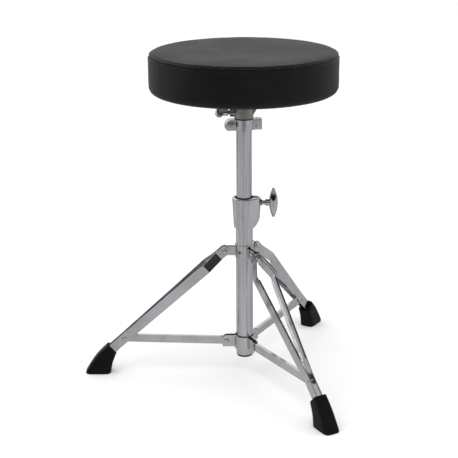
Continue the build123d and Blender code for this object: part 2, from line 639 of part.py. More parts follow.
def leg_strip():
    """Pressed strip, built along +X on the +Y side of the leg's middle plane."""
    outer = FilletPolyline(*strip_path(0), radius=BEND_RADIUS)
    inner = FilletPolyline(*strip_path(PLATE), radius=BEND_RADIUS)
    start = Line(inner @ 0, outer @ 0)
    end = Line(outer @ 1, inner @ 1)
    web = extrude(make_face(Curve() + [outer, end, inner, start]), STRIP_HALF_WIDTH, both=True)
    rounding = rod_y(STRIP_HALF_WIDTH, 0, STRIP_AT_FLARE * 2, 0, 0)
    rounding += block((0, STRIP_END), (0, STRIP_AT_FLARE * 2), (-STRIP_HALF_WIDTH, STRIP_HALF_WIDTH))
    web &= rounding
    first, last = FLANGE_START, FLANGE_END
    plan = Polyline(
        (first, strip_offset(first)), (last, strip_offset(last)),
        (last - FLANGE, strip_offset(last) - FLANGE), (first + FLANGE, strip_offset(first) - FLANGE),
        close=True,
    )
    flange = extrude(make_face(plan), PLATE)
    web += Pos(0, 0, STRIP_HALF_WIDTH - PLATE) * flange
    web += Pos(0, 0, -STRIP_HALF_WIDTH) * flange
    web -= rod_y(RIVET_RADIUS + THREAD_FIT, 0, STRIP_AT_FLARE, 0, 0)
    return web - rod_y(RIVET_RADIUS, 0, STRIP_AT_FLARE, LEG_TO_KNEE, 0)


def lay_leg(shape, name):
    """Put a shape built along +X from the leg pivot into its place on one leg."""
    tilted = Pos(LEG_PIVOT[0], 0, LEG_PIVOT[1]) * (Rot(0, LEG_SLOPE, 0) * shape)
    return at_leg(tilted, name)


def knee_rivets():
    """Two stub rivets, one through each strip, that face the brace between them."""
    web = STRIP_AT_KNEE - PLATE
    place = Pos(LEG_TO_KNEE, 0, 0)
    stubs = []
    for sign in (-1, 1):
        low, high = sorted((sign * web, sign * STRIP_AT_KNEE))
        shank = rod_y(RIVET_RADIUS, low, high, LEG_TO_KNEE, 0)
        stubs.append(shank + place * rivet_head(STRIP_AT_KNEE, sign))
    return stubs


def foot():
    """Rubber boot, built in the leg's own plane at its rest place."""
    sole_middle = SOLE_START + SOLE_LENGTH / 2
    sole = Pos(sole_middle, 0, SOLE_EDGE) * Rectangle(SOLE_LENGTH, SOLE_WIDTH)
    slope = radians(LEG_SLOPE)
    mouth_centre = (LEG_PIVOT[0] + FOOT_MOUTH * cos(slope), 0, LEG_PIVOT[1] - FOOT_MOUTH * sin(slope))
    mouth_plane = Plane(origin=mouth_centre, x_dir=(sin(slope), 0, cos(slope)),
                        z_dir=(-cos(slope), 0, sin(slope)))
    mouth = mouth_plane * Rectangle(*FOOT_MOUTH_SIZE)
    boot = loft([sole.faces()[0], mouth.faces()[0]], ruled=True)
    base = block((SOLE_START, SOLE_START + SOLE_LENGTH), (-SOLE_WIDTH / 2, SOLE_WIDTH / 2), (0, SOLE_EDGE))
    base = fillet(base.edges().filter_by(Axis.Z), BOOT_CORNER)
    long_edges = [e for e in boot.edges() if e.bounding_box().size.Z > SOLE_EDGE * 4]
    boot = fillet(long_edges, BOOT_CORNER)
    boot += base
    pocket = block((FOOT_MOUTH - BOOT_CORNER, STRIP_END), (-STRIP_AT_KNEE, STRIP_AT_KNEE),
                   (-STRIP_HALF_WIDTH, STRIP_HALF_WIDTH))
    return boot - Pos(LEG_PIVOT[0], 0, LEG_PIVOT[1]) * (Rot(0, LEG_SLOPE, 0) * pocket)


def brace():
    """U-channel, open downwards, from the hub pivot at the origin to the knee along +X."""
    half, width = BRACE_HALF_HEIGHT, BRACE_HALF_WIDTH
    body = block((0, BRACE_LENGTH), (-width, width), (-half, half))
    body += [rod_y(half, -width, width, x, 0) for x in (0, BRACE_LENGTH)]
    gap = width - BRACE_WALL
    inside = block((-half, BRACE_LENGTH + half), (-gap, gap), (-half, half - BRACE_WALL))
    ends = [
        block((-half, BRACE_WEB_SETBACK), (-gap, gap), (-half, half)),
        block((BRACE_LENGTH - BRACE_WEB_SETBACK, BRACE_LENGTH + half), (-gap, gap), (-half, half)),
    ]
    body -= [inside, *ends]
    body -= rod_y(RIVET_RADIUS + THREAD_FIT, -width, width, 0, 0)
    return body - rod_y(BUSH_RADIUS, -width, width, BRACE_LENGTH, 0)


def knee_bush():
    """Short bush through the outer end of a brace."""
    reach = STRIP_AT_KNEE - PLATE - CLEAR
    return rod_y(BUSH_RADIUS, -reach, reach, BRACE_LENGTH, 0) - rod_y(
        RIVET_RADIUS, -reach, reach, BRACE_LENGTH, 0)


def lay_brace(shape, name):
    """Put a shape built along +X from the hub pivot into its place on one brace."""
    tilted = Pos(BRACE_PIVOT[0], 0, BRACE_PIVOT[1]) * (Rot(0, -BRACE_SLOPE, 0) * shape)
    return at_leg(tilted, name)


# ---------------------------------------------------------------- sub-assemblies

def write_seat():
    save(top_panel(), "seat_top_panel")
    save(side_band(), "seat_side_band")
    save(seat_foam(), "seat_foam")
    save(base_board(), "seat_base_board")
    save(dust_cover(), "seat_dust_cover")
    save(staples(), "seat_staples")
    save(t_nuts(), "seat_t_nuts")
    save(receiver_screws(), "receiver_screws")
    save(seat_receiver(), "seat_receiver")
    save(lock_screw(), "seat_lock_screw")
    save(lock_handle(), "seat_lock_handle")


def write_post():
    save(tube(POST_RADIUS, POST_RADIUS - POST_WALL, POST_BOTTOM, POST_TOP), "inner_tube")
    front, rear = lock_halves()
    save(front, "memory_lock_front")
    save(rear, "memory_lock_rear")
    save(hinge_pin(), "memory_lock_hinge_pin")
    save(key_bolt(), "memory_lock_key_bolt")
    save(key_nut(), "memory_lock_nut")


def write_column():
    save(outer_tube(), "outer_tube")
    save(end_cap(), "tube_end_cap")
    save(height_clamp(), "height_clamp")
    save(clamp_bushing(), "clamp_bushing")
    save(thread_insert(), "clamp_thread_insert")
    save(clamp_pad(), "clamp_pad")
    save(bolt_screw(), "height_bolt_screw")
    save(Pos(BOLT_HANDLE_X, 0, BOLT_AXIS_Z) * bolt_handle(BOLT_NECK_RADIUS), "height_bolt_handle")
    for name, plate in zip(LEG_AZIMUTHS, upper_hub_plates()):
        save(plate, f"upper_hub_plate_{name}")
    save(fixing_rivets(), "hub_fixing_rivets")
    rivet = pivot_rivet(LEG_PIVOT, STRIP_AT_PIVOT + CLEAR)
    save([at_leg(rivet, name) for name in LEG_AZIMUTHS], "leg_pivot_rivets")


def write_lower_hub():
    low, high = LOWER_HUB_Z
    inner = TUBE_RADIUS + RUNNING_FIT
    save(tube(TUBE_RADIUS + SLIDER_WALL, inner, low, high - SLIDER_LIP), "slider_bushing")
    ear = (LOWER_EAR_REACH, LOWER_EAR_Z, LOWER_EAR_CORNERS)
    plate = hub_plate(TUBE_RADIUS + SLIDER_WALL, LOWER_HUB_Z, BRACE_PIVOT, LOWER_EAR_GAP, ear)
    for name, azimuth in LEG_AZIMUTHS.items():
        save(Rot(0, 0, azimuth + 60) * plate, f"lower_hub_plate_{name}")
    rivet = pivot_rivet(BRACE_PIVOT, LOWER_EAR_GAP + PLATE)
    save([at_leg(rivet, name) for name in LEG_AZIMUTHS], "brace_pivot_rivets")


def write_legs():
    strip = leg_strip()
    other_strip = mirror(strip, Plane.XZ)
    rivets = knee_rivets()
    boot = foot()
    channel = brace()
    bush = knee_bush()
    for name in LEG_AZIMUTHS:
        save(lay_leg(strip, name), f"{name}_leg_strip_1")
        save(lay_leg(other_strip, name), f"{name}_leg_strip_2")
        save([lay_leg(rivet, name) for rivet in rivets], f"{name}_knee_rivets")
        save(at_leg(boot, name), f"{name}_foot")
        save(lay_brace(channel, name), f"{name}_brace")
        save(lay_brace(bush, name), f"{name}_knee_bush")


write_seat()
write_post()
write_column()
write_lower_hub()
write_legs()
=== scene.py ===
"""Drum throne: finishes, upholstery, boots, rivets and studio around the packed model.

Laid out as a Blender add-on and run as a script. Lengths in the settings are metres.
"""

import json
import math

import bmesh
import bpy
import numpy as np
from bpy.props import FloatProperty, FloatVectorProperty, IntProperty, PointerProperty
from mathutils import Matrix, Vector


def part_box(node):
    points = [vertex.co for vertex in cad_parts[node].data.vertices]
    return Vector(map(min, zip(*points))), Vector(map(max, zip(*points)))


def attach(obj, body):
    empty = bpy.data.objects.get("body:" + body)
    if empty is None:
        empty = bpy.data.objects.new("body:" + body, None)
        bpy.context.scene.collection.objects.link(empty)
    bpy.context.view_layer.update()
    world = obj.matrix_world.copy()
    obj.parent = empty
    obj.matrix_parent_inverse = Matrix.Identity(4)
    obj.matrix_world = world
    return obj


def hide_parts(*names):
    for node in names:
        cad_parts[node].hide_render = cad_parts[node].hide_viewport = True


bl_info = {
    "name": "Drum Throne",
    "version": (1, 0, 0),
    "blender": (4, 5, 0),
    "location": "3D View > Sidebar > Throne",
    "description": "Builds the upholstery, boots, rivets, finishes and studio of a drum throne",
    "category": "Add Mesh",
}

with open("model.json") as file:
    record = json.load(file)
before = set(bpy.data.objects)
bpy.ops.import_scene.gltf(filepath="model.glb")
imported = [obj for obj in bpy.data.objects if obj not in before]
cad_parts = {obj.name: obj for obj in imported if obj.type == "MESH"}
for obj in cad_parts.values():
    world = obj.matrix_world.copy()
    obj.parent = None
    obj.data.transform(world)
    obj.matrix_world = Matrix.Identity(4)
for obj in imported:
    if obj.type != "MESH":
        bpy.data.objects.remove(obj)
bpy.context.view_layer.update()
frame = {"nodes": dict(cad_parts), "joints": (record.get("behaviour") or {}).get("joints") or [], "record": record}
JOINTS = {joint["name"]: joint for joint in frame["joints"]}
LEGS = ("left", "front", "rear")

SEAT_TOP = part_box("seat_top_panel")[1].z
SEAT_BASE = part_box("seat_side_band")[0].z
SEAT_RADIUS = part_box("seat_side_band")[1].x
BOARD_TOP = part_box("seat_base_board")[1].z
BOARD_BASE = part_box("seat_base_board")[0].z
BOARD_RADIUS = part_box("seat_base_board")[1].x
LIP_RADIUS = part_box("seat_dust_cover")[1].x


# ---------------------------------------------------------------- settings


def length(name, description, value, high=2.0):
    """A property that holds a length in metres."""
    return FloatProperty(
        name=name, description=description, default=value, min=0.0, max=high, subtype="DISTANCE", unit="LENGTH"
    )


def share(name, description, value):
    """A property that holds a plain share from 0 to 1."""
    return FloatProperty(name=name, description=description, default=value, min=0.0, max=1.0, subtype="FACTOR")


def colour(name, description, value):
    """A property that holds a colour."""
    return FloatVectorProperty(
        name=name, description=description, default=value, size=3, min=0.0, max=1.0, subtype="COLOR"
    )


def angle(name, description, degrees):
    """A property that holds an angle."""
    return FloatProperty(name=name, description=description, default=math.radians(degrees), subtype="ANGLE")


class ThroneCushionSettings(bpy.types.PropertyGroup):
    """Sizes and colours of the upholstered seat."""

    edge_radius: length("Edge radius", "Rounding between the top and the side", 0.0075)
    base_radius: length("Base radius", "Rounding where the side turns under the board", 0.010)
    upper_seam: length("Upper seam", "Height of the upper row of stitches", 0.5530)
    lower_seam: length("Lower seam", "Height of the lower row of stitches", 0.5468)
    seam_width: length("Seam width", "Half width of the crease along a seam", 0.0009)
    seam_depth: length("Seam depth", "Depth of the crease along a seam", 0.0011)
    band_rise: length("Band rise", "How far the band between the seams stands out", 0.0007)
    side_step: length("Side step", "How far the side band lies behind the top's edge", 0.0008)
    slack: length("Slack", "How much smaller the cushion is before it is inflated", 0.0007)
    swell: length("Swell", "Longest way a point may move out while it is inflated", 0.0017)
    voxel: length("Voxel", "Size of the remesh before the inflation", 0.005)
    evening: IntProperty(name="Evening", description="Rounds of averaging of the swell", default=24, min=0)
    ripple: length("Ripple", "Height of the slow waves in the side band", 0.00028)
    columns: IntProperty(name="Columns", description="Steps round the cushion", default=512, min=64)
    vinyl: colour("Vinyl", "Colour of the vinyl", (0.0024, 0.0025, 0.0025))
    # The handled colour is warmer and lighter than the vinyl: partly handling, partly painted sheen.
    vinyl_handled_sheen: colour("Handled vinyl with painted sheen", "Colour of the vinyl where it is handled", (0.0085, 0.0078, 0.0062))


class ThroneStitchSettings(bpy.types.PropertyGroup):
    """Sizes of the stitched thread."""

    pitch: length("Pitch", "Distance from one stitch to the next", 0.0046)
    reach: length("Stitch length", "Length of thread that shows in one stitch", 0.0035)
    radius: length("Thread radius", "Radius of the thread", 0.00042)
    thread: colour("Thread", "Colour of the thread", (0.012, 0.012, 0.013))


class ThroneBootSettings(bpy.types.PropertyGroup):
    """Sizes of the rubber boots, in the plane of a leg."""

    sole_start: length("Sole start", "Distance from the column to the sole's inner end", 0.231)
    sole_end: length("Sole end", "Distance from the column to the sole's outer end", 0.274)
    sole_width: length("Sole width", "Width of the sole", 0.028)
    sole_edge: length("Sole edge", "Height of the sole's upright edge", 0.0036)
    mouth: length("Mouth", "Distance along the leg from its pivot to the boot's mouth", 0.2635)
    mouth_height: length("Mouth height", "Size of the mouth across the leg, in its plane", 0.0226)
    mouth_width: length("Mouth width", "Size of the mouth across the leg, sideways", 0.0236)
    bow: length("Bow", "How far the boot's back is arched outwards", 0.0016)
    pocket_height: length("Pocket height", "Room for the strips, in the leg's plane", 0.0163)
    pocket_width: length("Pocket width", "Room for the strips, sideways", 0.0113)
    pocket_depth: length("Pocket depth", "Depth of the room for the strips", 0.0228)
    rubber: colour("Rubber", "Colour of the rubber", (0.0022, 0.0022, 0.0025))


class ThroneRivetSettings(bpy.types.PropertyGroup):
    """Sizes of the rivets."""

    shank: length("Shank", "Radius of a rivet's shank", 0.0025)
    head: length("Head", "Radius of a domed head", 0.0049)
    dome: length("Dome", "Height of a domed head", 0.0019)
    dimple: length("Dimple", "Depth of the mark left by the riveting tool", 0.00022)
    leg_grip: length("Leg grip", "Half the length between the heads of a leg pivot", 0.0063)
    brace_grip: length("Brace grip", "Half the length between the heads of a brace pivot", 0.0048)
    knee_grip: length("Knee grip", "Half the width over the two strips at a knee", 0.0055)
    strip: length("Strip", "Thickness of the pressed steel", 0.0015)
    hub_head: length("Hub head", "Radius of the tubular rivets of the upper hub", 0.0037)
    hub_face: length("Hub face", "Distance from the column's axis to the hub plates' faces", 0.0158)
    nickel: colour("Nickel", "Colour of the nickel plate", (0.62, 0.575, 0.50))


class ThroneMetalSettings(bpy.types.PropertyGroup):
    """Colours and polish of the plated parts."""

    chrome: colour("Chrome", "Colour of the chrome plate", (0.60, 0.60, 0.615))
    chrome_dull: colour("Dull chrome", "Colour of chrome under a film of handling", (0.50, 0.50, 0.505))
    chrome_roughness: share("Chrome roughness", "Roughness of the polished tubes", 0.045)
    strip_roughness: share("Strip roughness", "Roughness of the pressed strips", 0.075)
    cast_roughness: share("Casting roughness", "Roughness of the plated castings", 0.045)
    satin: colour("Satin casting", "Colour of the seat's receiver", (0.42, 0.405, 0.375))
    zinc: colour("Zinc", "Colour of zinc-plated steel", (0.55, 0.54, 0.50))
    brass: colour("Brass", "Colour of the threaded sleeve", (0.46, 0.33, 0.15))
    thread_pitch: length("Thread pitch", "Pitch of the screws' threads", 0.00125)
    thread_depth: length("Thread depth", "Depth of the screws' threads", 0.00045)


class ThroneStageSettings(bpy.types.PropertyGroup):
    """Floor, lights and camera."""

    floor_radius: length("Floor radius", "Radius of the floor", 14.0, high=50.0)
    floor: colour("Floor", "Colour of the floor", (0.90, 0.90, 0.90))
    floor_mirror: share("Mirrored floor", "Brightness of the floor as polished parts show it", 0.58)
    ceiling: FloatProperty(name="Ceiling light", description="Power of the overhead panel", default=34.0, unit="POWER")
    ambient: FloatProperty(
        name="Ambient", description="Brightness of the soft light from all sides", default=1.12, min=0.0
    )
    backdrop: share("Backdrop", "Brightness of the surroundings behind, as polished parts show them", 1.0)
    canopy: share("Canopy", "Brightness of the surroundings high in front, as polished parts show them", 0.42)
    zenith: share("Zenith", "Brightness of the surroundings overhead, as polished parts show them", 0.02)
    camera_distance: length("Camera distance", "Distance from the column to the camera", 1.9017, high=20.0)
    camera_height: length("Camera height", "Height of the camera", 0.8681, high=20.0)
    camera_pitch: angle("Camera pitch", "Angle below the horizon", 17.79)
    camera_roll: angle("Camera roll", "Turn about the view", -0.21)
    lens: FloatProperty(name="Lens", description="Focal length in millimetres", default=94.15, min=10.0)
    shift: FloatProperty(name="Shift", description="Sideways shift of the view", default=-0.0334)


# ---------------------------------------------------------------- surfaces


def arc(centre, radius, start, end, count):
    """Points (radius, height) on a circle from one angle to another, in degrees."""
    turn = np.radians(np.linspace(start, end, count))
    return np.stack([centre[0] + radius * np.cos(turn), centre[1] + radius * np.sin(turn)], axis=-1)


def run(start, end, count):
    """Evenly spaced points from start towards end, without the end itself."""
    part = np.linspace(0, 1, count, endpoint=False)[:, None]
    return np.asarray(start) * (1 - part) + np.asarray(end) * part


def lathe(profile, steps):
    """Surface of revolution: each (radius, height) of the profile carried round Z as
    x = radius cos(turn), y = radius sin(turn), z = height."""
    turn = np.linspace(0, 2 * np.pi, steps, endpoint=False)
    radius, height = np.asarray(profile).T[..., None]
    return np.stack(np.broadcast_arrays(radius * np.cos(turn), radius * np.sin(turn), height), axis=-1)


def placed(points, origin, axis):
    """Points turned so that their Z axis lies along axis, then moved to origin."""
    w = np.asarray(axis, float) / np.linalg.norm(axis)
    helper = np.array([0.0, 0.0, 1.0]) if abs(w[2]) < 0.9 else np.array([1.0, 0.0, 0.0])
    u = np.cross(helper, w)
    u /= np.linalg.norm(u)
    return points @ np.stack([u, np.cross(w, u), w]) + np.asarray(origin)


def quads(rows, columns):
    """Corner numbers of the quads of a grid whose last column joins its first."""
    row, column = np.arange(rows - 1)[:, None], np.arange(columns)[None, :]
    after = (column + 1) % columns
    low, high = row * columns, (row + 1) * columns
    return np.stack([low + column, low + after, high + after, high + column], axis=-1).reshape(-1, 4)


def new_object(name, points, faces):
    """Object in the scene from an array of points and an array of faces."""
    mesh = bpy.data.meshes.new(name)
    mesh.from_pydata(points.reshape(-1, 3).tolist(), [], faces.tolist())
    obj = bpy.data.objects.new(name, mesh)
    bpy.context.scene.collection.objects.link(obj)
    return obj


def piece(name, grids, body, material, sharp=35.0):
    """New object from grids of points shaped (..., rows, columns, 3). Points that meet are merged, so
    poles and ends close, and the faces are turned outwards."""
    points, faces, used = [], [], 0
    for grid in grids:
        rows, columns = grid.shape[-3:-1]
        copies = grid.reshape(-1, rows * columns, 3)
        starts = used + np.arange(len(copies))[:, None, None] * rows * columns
        faces.append((quads(rows, columns)[None] + starts).reshape(-1, 4))
        points.append(copies.reshape(-1, 3))
        used += copies.shape[0] * copies.shape[1]
    obj = new_object(name, np.concatenate(points), np.concatenate(faces))
    close_up(obj.data)
    obj.data.shade_smooth()
    obj.data.set_sharp_from_angle(angle=math.radians(sharp))
    obj.data.materials.append(material)
    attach(obj, body)
    return obj


def close_up(mesh):
    """Merges points that meet, drops faces without area and turns every face outwards."""
    work = bmesh.new()
    work.from_mesh(mesh)
    bmesh.ops.remove_doubles(work, verts=work.verts, dist=1e-6)
    bmesh.ops.dissolve_degenerate(work, edges=work.edges, dist=1e-7)
    bmesh.ops.recalc_face_normals(work, faces=work.faces)
    work.to_mesh(mesh)
    work.free()


def get_points(mesh):
    """Vertex positions as an array."""
    points = np.empty(len(mesh.vertices) * 3, np.float32)
    mesh.vertices.foreach_get("co", points)
    return points.reshape(-1, 3).astype(float)


def set_points(mesh, points):
    """Writes vertex positions from an array."""
    mesh.vertices.foreach_set("co", np.asarray(points, np.float32).ravel())
    mesh.update()


# ---------------------------------------------------------------- shader nodes


class Graph:
    """A shader node tree being built."""

    def __init__(self, tree):
        self.tree = tree

    def node(self, kind, inputs=None, **settings):
        """Adds a node, sets its properties, then links or sets its inputs."""
        made = self.tree.nodes.new("ShaderNode" + kind)
        for key, value in settings.items():
            setattr(made, key, value)
        for key, value in (inputs or {}).items():
            self.feed(made.inputs[key], value)
        return made

    def feed(self, socket, value):
        """Links a socket to another one, or sets its value."""
        if isinstance(value, bpy.types.NodeSocket):
            self.tree.links.new(value, socket)
        else:
            socket.default_value = value

    def surface(self, shader, base, roughness, normal=None):
        """Links or sets a shader's colour, roughness and normal."""
        for label, value in (("Base Color", base), ("Roughness", roughness), ("Normal", normal)):
            if value is not None:
                self.feed(shader.inputs[label], value)

    def maths(self, operation, *values, clamp=False):
        """Result of a Math node."""
        return self.node("Math", dict(enumerate(values)), operation=operation, use_clamp=clamp).outputs[0]

    def times(self, *values, **settings):
        """The product of two values."""
        return self.maths("MULTIPLY", *values, **settings)

    def plus(self, *values, **settings):
        """The sum of two values."""
        return self.maths("ADD", *values, **settings)

    def minus(self, *values, **settings):
        """The first value less the second."""
        return self.maths("SUBTRACT", *values, **settings)

    def scaled(self, *values, **settings):
        """The first value times the second plus the third."""
        return self.maths("MULTIPLY_ADD", *values, **settings)

    def blend(self, factor, first, second):
        """Result of mixing two colours."""
        return self.node("Mix", {0: factor, 6: first, 7: second}, data_type="RGBA").outputs[2]

    def spread(self, value, low, high, new_low, new_high):
        """A value mapped smoothly from one span to another."""
        spans = {"Value": value, "From Min": low, "From Max": high, "To Min": new_low, "To Max": new_high}
        return self.node("MapRange", spans, interpolation_type="SMOOTHSTEP").outputs[0]

    def noise(self, vector, scale, detail=3.0, roughness=0.5, distortion=0.0):
        """Value of a noise texture."""
        inputs = {
            "Vector": vector, "Scale": scale, "Detail": detail, "Roughness": roughness, "Distortion": distortion
        }
        return self.node("TexNoise", inputs).outputs[0]

    def stretched(self, vector, scale):
        """Coordinates stretched along the axes."""
        return self.node("Mapping", {"Vector": vector, "Scale": scale}).outputs[0]

    def bump(self, height, strength, distance, **normal):
        """Normal bent by a height."""
        return self.node("Bump", {"Height": height, "Strength": strength, "Distance": distance, **normal}).outputs[0]

    def dot(self, first, second):
        """Dot product of two vectors."""
        return self.node("VectorMath", {0: first, 1: second}, operation="DOT_PRODUCT").outputs["Value"]

    def group(self, make, **inputs):
        """Places a shader group and returns its outputs."""
        inputs = {key.replace("_", " ").title(): value for key, value in inputs.items()}
        return self.node("Group", inputs, node_tree=make()).outputs

    def mirror(self, plain, mirrored, output):
        """Shows one shader to the camera and another one to polished parts."""
        glossy = self.node("LightPath").outputs["Is Glossy Ray"]
        choice = self.node("MixShader", {0: glossy, 1: plain.outputs[0], 2: mirrored.outputs[0]})
        self.feed(self.tree.nodes[output].inputs["Surface"], choice.outputs[0])


def shader_group(name, inputs, outputs, fill):
    """The named shader group, made once: inputs are {label: default}, None for a vector; outputs are labels."""
    found = bpy.data.node_groups.get(name)
    if found:
        return found
    tree = bpy.data.node_groups.new(name, "ShaderNodeTree")
    for label, value in inputs.items():
        kind = "NodeSocketVector" if value is None else "NodeSocketFloat"
        socket = tree.interface.new_socket(label, in_out="INPUT", socket_type=kind)
        if value is not None:
            socket.default_value = value
    for label in outputs:
        kind = "NodeSocketVector" if label == "Normal" else "NodeSocketFloat"
        tree.interface.new_socket(label, in_out="OUTPUT", socket_type=kind)
    graph = Graph(tree)
    source = tree.nodes.new("NodeGroupInput").outputs
    target = tree.nodes.new("NodeGroupOutput").inputs
    for label, socket in fill(graph, source).items():
        graph.feed(target[label], socket)
    return tree


def plating():
    """Plated metal: slow waves in the surface, a fine grain, and a haze that varies over it."""

    def fill(graph, source):
        vector = source["Vector"]
        waves = graph.noise(vector, source["Wave Scale"], 2.0)
        grain = graph.noise(vector, source["Grain Scale"], 4.0, 0.6)
        haze = graph.spread(graph.noise(vector, 38.0, 4.0, 0.6, 0.4), 0.38, 0.72, 0.0, 1.0)
        pits = graph.spread(graph.noise(vector, 1500.0, 2.0), 0.70, 0.80, 0.0, 1.0)
        rough = graph.scaled(haze, source["Haze"], source["Roughness"])
        rough = graph.scaled(pits, 0.10, rough)
        rough = graph.scaled(graph.minus(grain, 0.5), source["Grain"], rough, clamp=True)
        height = graph.scaled(grain, 0.06, waves)
        return {"Roughness": rough, "Height": height, "Haze": haze}

    inputs = {
        "Vector": None, "Roughness": 0.1, "Haze": 0.06, "Grain": 0.05, "Wave Scale": 60.0, "Grain Scale": 900.0
    }
    return shader_group("Plating", inputs, ["Roughness", "Height", "Haze"], fill)


def worn_edges():
    """Edges of a part: where the rounded normal leaves the true one, broken up by noise."""

    def fill(graph, source):
        soft = graph.node("Bevel", {"Radius": source["Radius"]}, samples=4).outputs[0]
        true = graph.node("NewGeometry").outputs["Normal"]
        edge = graph.spread(graph.dot(soft, true), 0.995, 0.85, 0.0, 1.0)
        broken = graph.spread(graph.noise(source["Vector"], source["Scale"], 4.0, 0.6), 0.35, 0.65, 0.35, 1.0)
        return {"Edge": graph.times(edge, broken), "Normal": soft}

    return shader_group("Worn Edges", {"Vector": None, "Radius": 0.0004, "Scale": 260.0}, ["Edge", "Normal"], fill)


def crevice_shade():
    """Mask of the grooves, slots and gaps between parts, where little light arrives, for painted shade."""

    def fill(graph, source):
        shade = graph.node("AmbientOcclusion", {"Distance": source["Reach"]}, samples=6).outputs["AO"]
        return {"Crevice": graph.spread(shade, 0.62, 0.22, 0.0, 1.0)}

    return shader_group("Crevice Shade", {"Reach": 0.004}, ["Crevice"], fill)


def dust():
    """Fine dust: a share that is larger on faces that look upwards, in soft patches and specks."""

    def fill(graph, source):
        normal = graph.node("SeparateXYZ", {"Vector": graph.node("NewGeometry").outputs["Normal"]}).outputs["Z"]
        upwards = graph.spread(normal, 0.1, 1.0, 0.25, 1.0)
        patches = graph.spread(graph.noise(source["Vector"], 22.0, 5.0, 0.65), 0.35, 0.75, 0.2, 1.0)
        specks = graph.spread(graph.noise(source["Vector"], 2600.0, 2.0), 0.62, 0.78, 0.0, 1.0)
        film = graph.times(upwards, graph.scaled(specks, 0.8, patches))
        return {"Dust": graph.times(film, source["Amount"], clamp=True)}

    return shader_group("Dust", {"Vector": None, "Amount": 0.1}, ["Dust"], fill)


def leather_grain():
    """Embossed vinyl: small pebbles with creases between them, and a mask of the creases."""

    def fill(graph, source):
        vector, size = source["Vector"], source["Cells"]
        warp = graph.node("TexNoise", {"Vector": vector, "Scale": graph.times(size, 0.35)}).outputs[1]
        warped = graph.node("VectorMath", {0: warp, 1: (0.0011, 0.0011, 0.0011), 2: vector}, operation="MULTIPLY_ADD")
        cells = {"Vector": warped.outputs[0], "Scale": size, "Randomness": 1.0}
        edge = graph.node("TexVoronoi", cells, feature="DISTANCE_TO_EDGE").outputs["Distance"]
        pebble = graph.spread(edge, 0.0, 0.28, 0.0, 1.0)
        fine = graph.noise(vector, graph.times(size, 3.1), 3.0)
        height = graph.scaled(fine, 0.35, pebble)
        return {"Height": height, "Crease": graph.minus(1.0, pebble, clamp=True)}

    return shader_group("Leather Grain", {"Vector": None, "Cells": 950.0}, ["Height", "Crease"], fill)


def seam_pucker():
    """Puckers beside a level seam: waves round Z, one to a stitch, that fade with height from the seam."""

    def fill(graph, source):
        parts = graph.node("SeparateXYZ", {"Vector": source["Vector"]})
        turn = graph.maths("ARCTAN2", parts.outputs["Y"], parts.outputs["X"])
        wave = graph.maths("SINE", graph.times(turn, source["Count"]))
        away = graph.maths("ABSOLUTE", graph.minus(parts.outputs["Z"], source["Height"]))
        near = graph.spread(away, 0.0, source["Reach"], 1.0, 0.0)
        return {"Height": graph.times(wave, near)}

    inputs = {"Vector": None, "Height": 0.55, "Count": 208.0, "Reach": 0.004}
    return shader_group("Seam Pucker", inputs, ["Height"], fill)


def new_material(name, constants=None):
    """A node material, its graph, its Principled shader with the constants set, and the piece's coordinates."""
    material = bpy.data.materials.new(name)
    material.use_nodes = True
    graph = Graph(material.node_tree)
    shader = material.node_tree.nodes["Principled BSDF"]
    for label, value in (constants or {}).items():
        shader.inputs[label].default_value = value
    return material, graph, shader, graph.node("TexCoord").outputs["Object"]


def rgba(tone, level=1.0):
    """A colour times a level, as four numbers."""
    return (*(part * level for part in tone[:3]), 1.0)


def settings():
    """The scene that holds every group of settings."""
    return bpy.context.scene


def plated(name, clean, dull, roughness, haze, wave, grain, stretch=(1, 1, 1), edge=0.0006):
    """Polished or satin plated metal: waves, grain along the stretch, haze, bright edges, dust, painted crevice shade.
    """
    material, graph, shader, vector = new_material(name, {"Metallic": 1.0})
    drawn = graph.stretched(vector, stretch)
    plate = graph.group(
        plating, vector=drawn, roughness=roughness, haze=haze, grain=grain[1], wave_scale=wave[0],
        grain_scale=grain[0],
    )
    edges = graph.group(worn_edges, vector=vector, radius=edge)
    film = graph.group(dust, vector=vector, amount=0.05)
    base = graph.blend(plate["Haze"], rgba(clean), rgba(dull))
    base = graph.blend(graph.times(edges["Edge"], 0.35), base, rgba(dull, 0.8))
    base = graph.blend(film["Dust"], base, (0.30, 0.29, 0.27, 1.0))
    # Painted shade: where ambient occlusion finds a groove, slot or gap, the colour is darkened nearly to black.
    painted_shade = graph.group(crevice_shade, reach=0.0045)["Crevice"]
    base = graph.blend(graph.times(painted_shade, 0.88), base, (0.018, 0.017, 0.016, 1.0))
    rough = graph.scaled(edges["Edge"], 0.10, plate["Roughness"])
    rough = graph.plus(rough, film["Dust"], clamp=True)
    graph.surface(shader, base, rough, graph.bump(plate["Height"], 0.6, wave[1], Normal=edges["Normal"]))
    return material


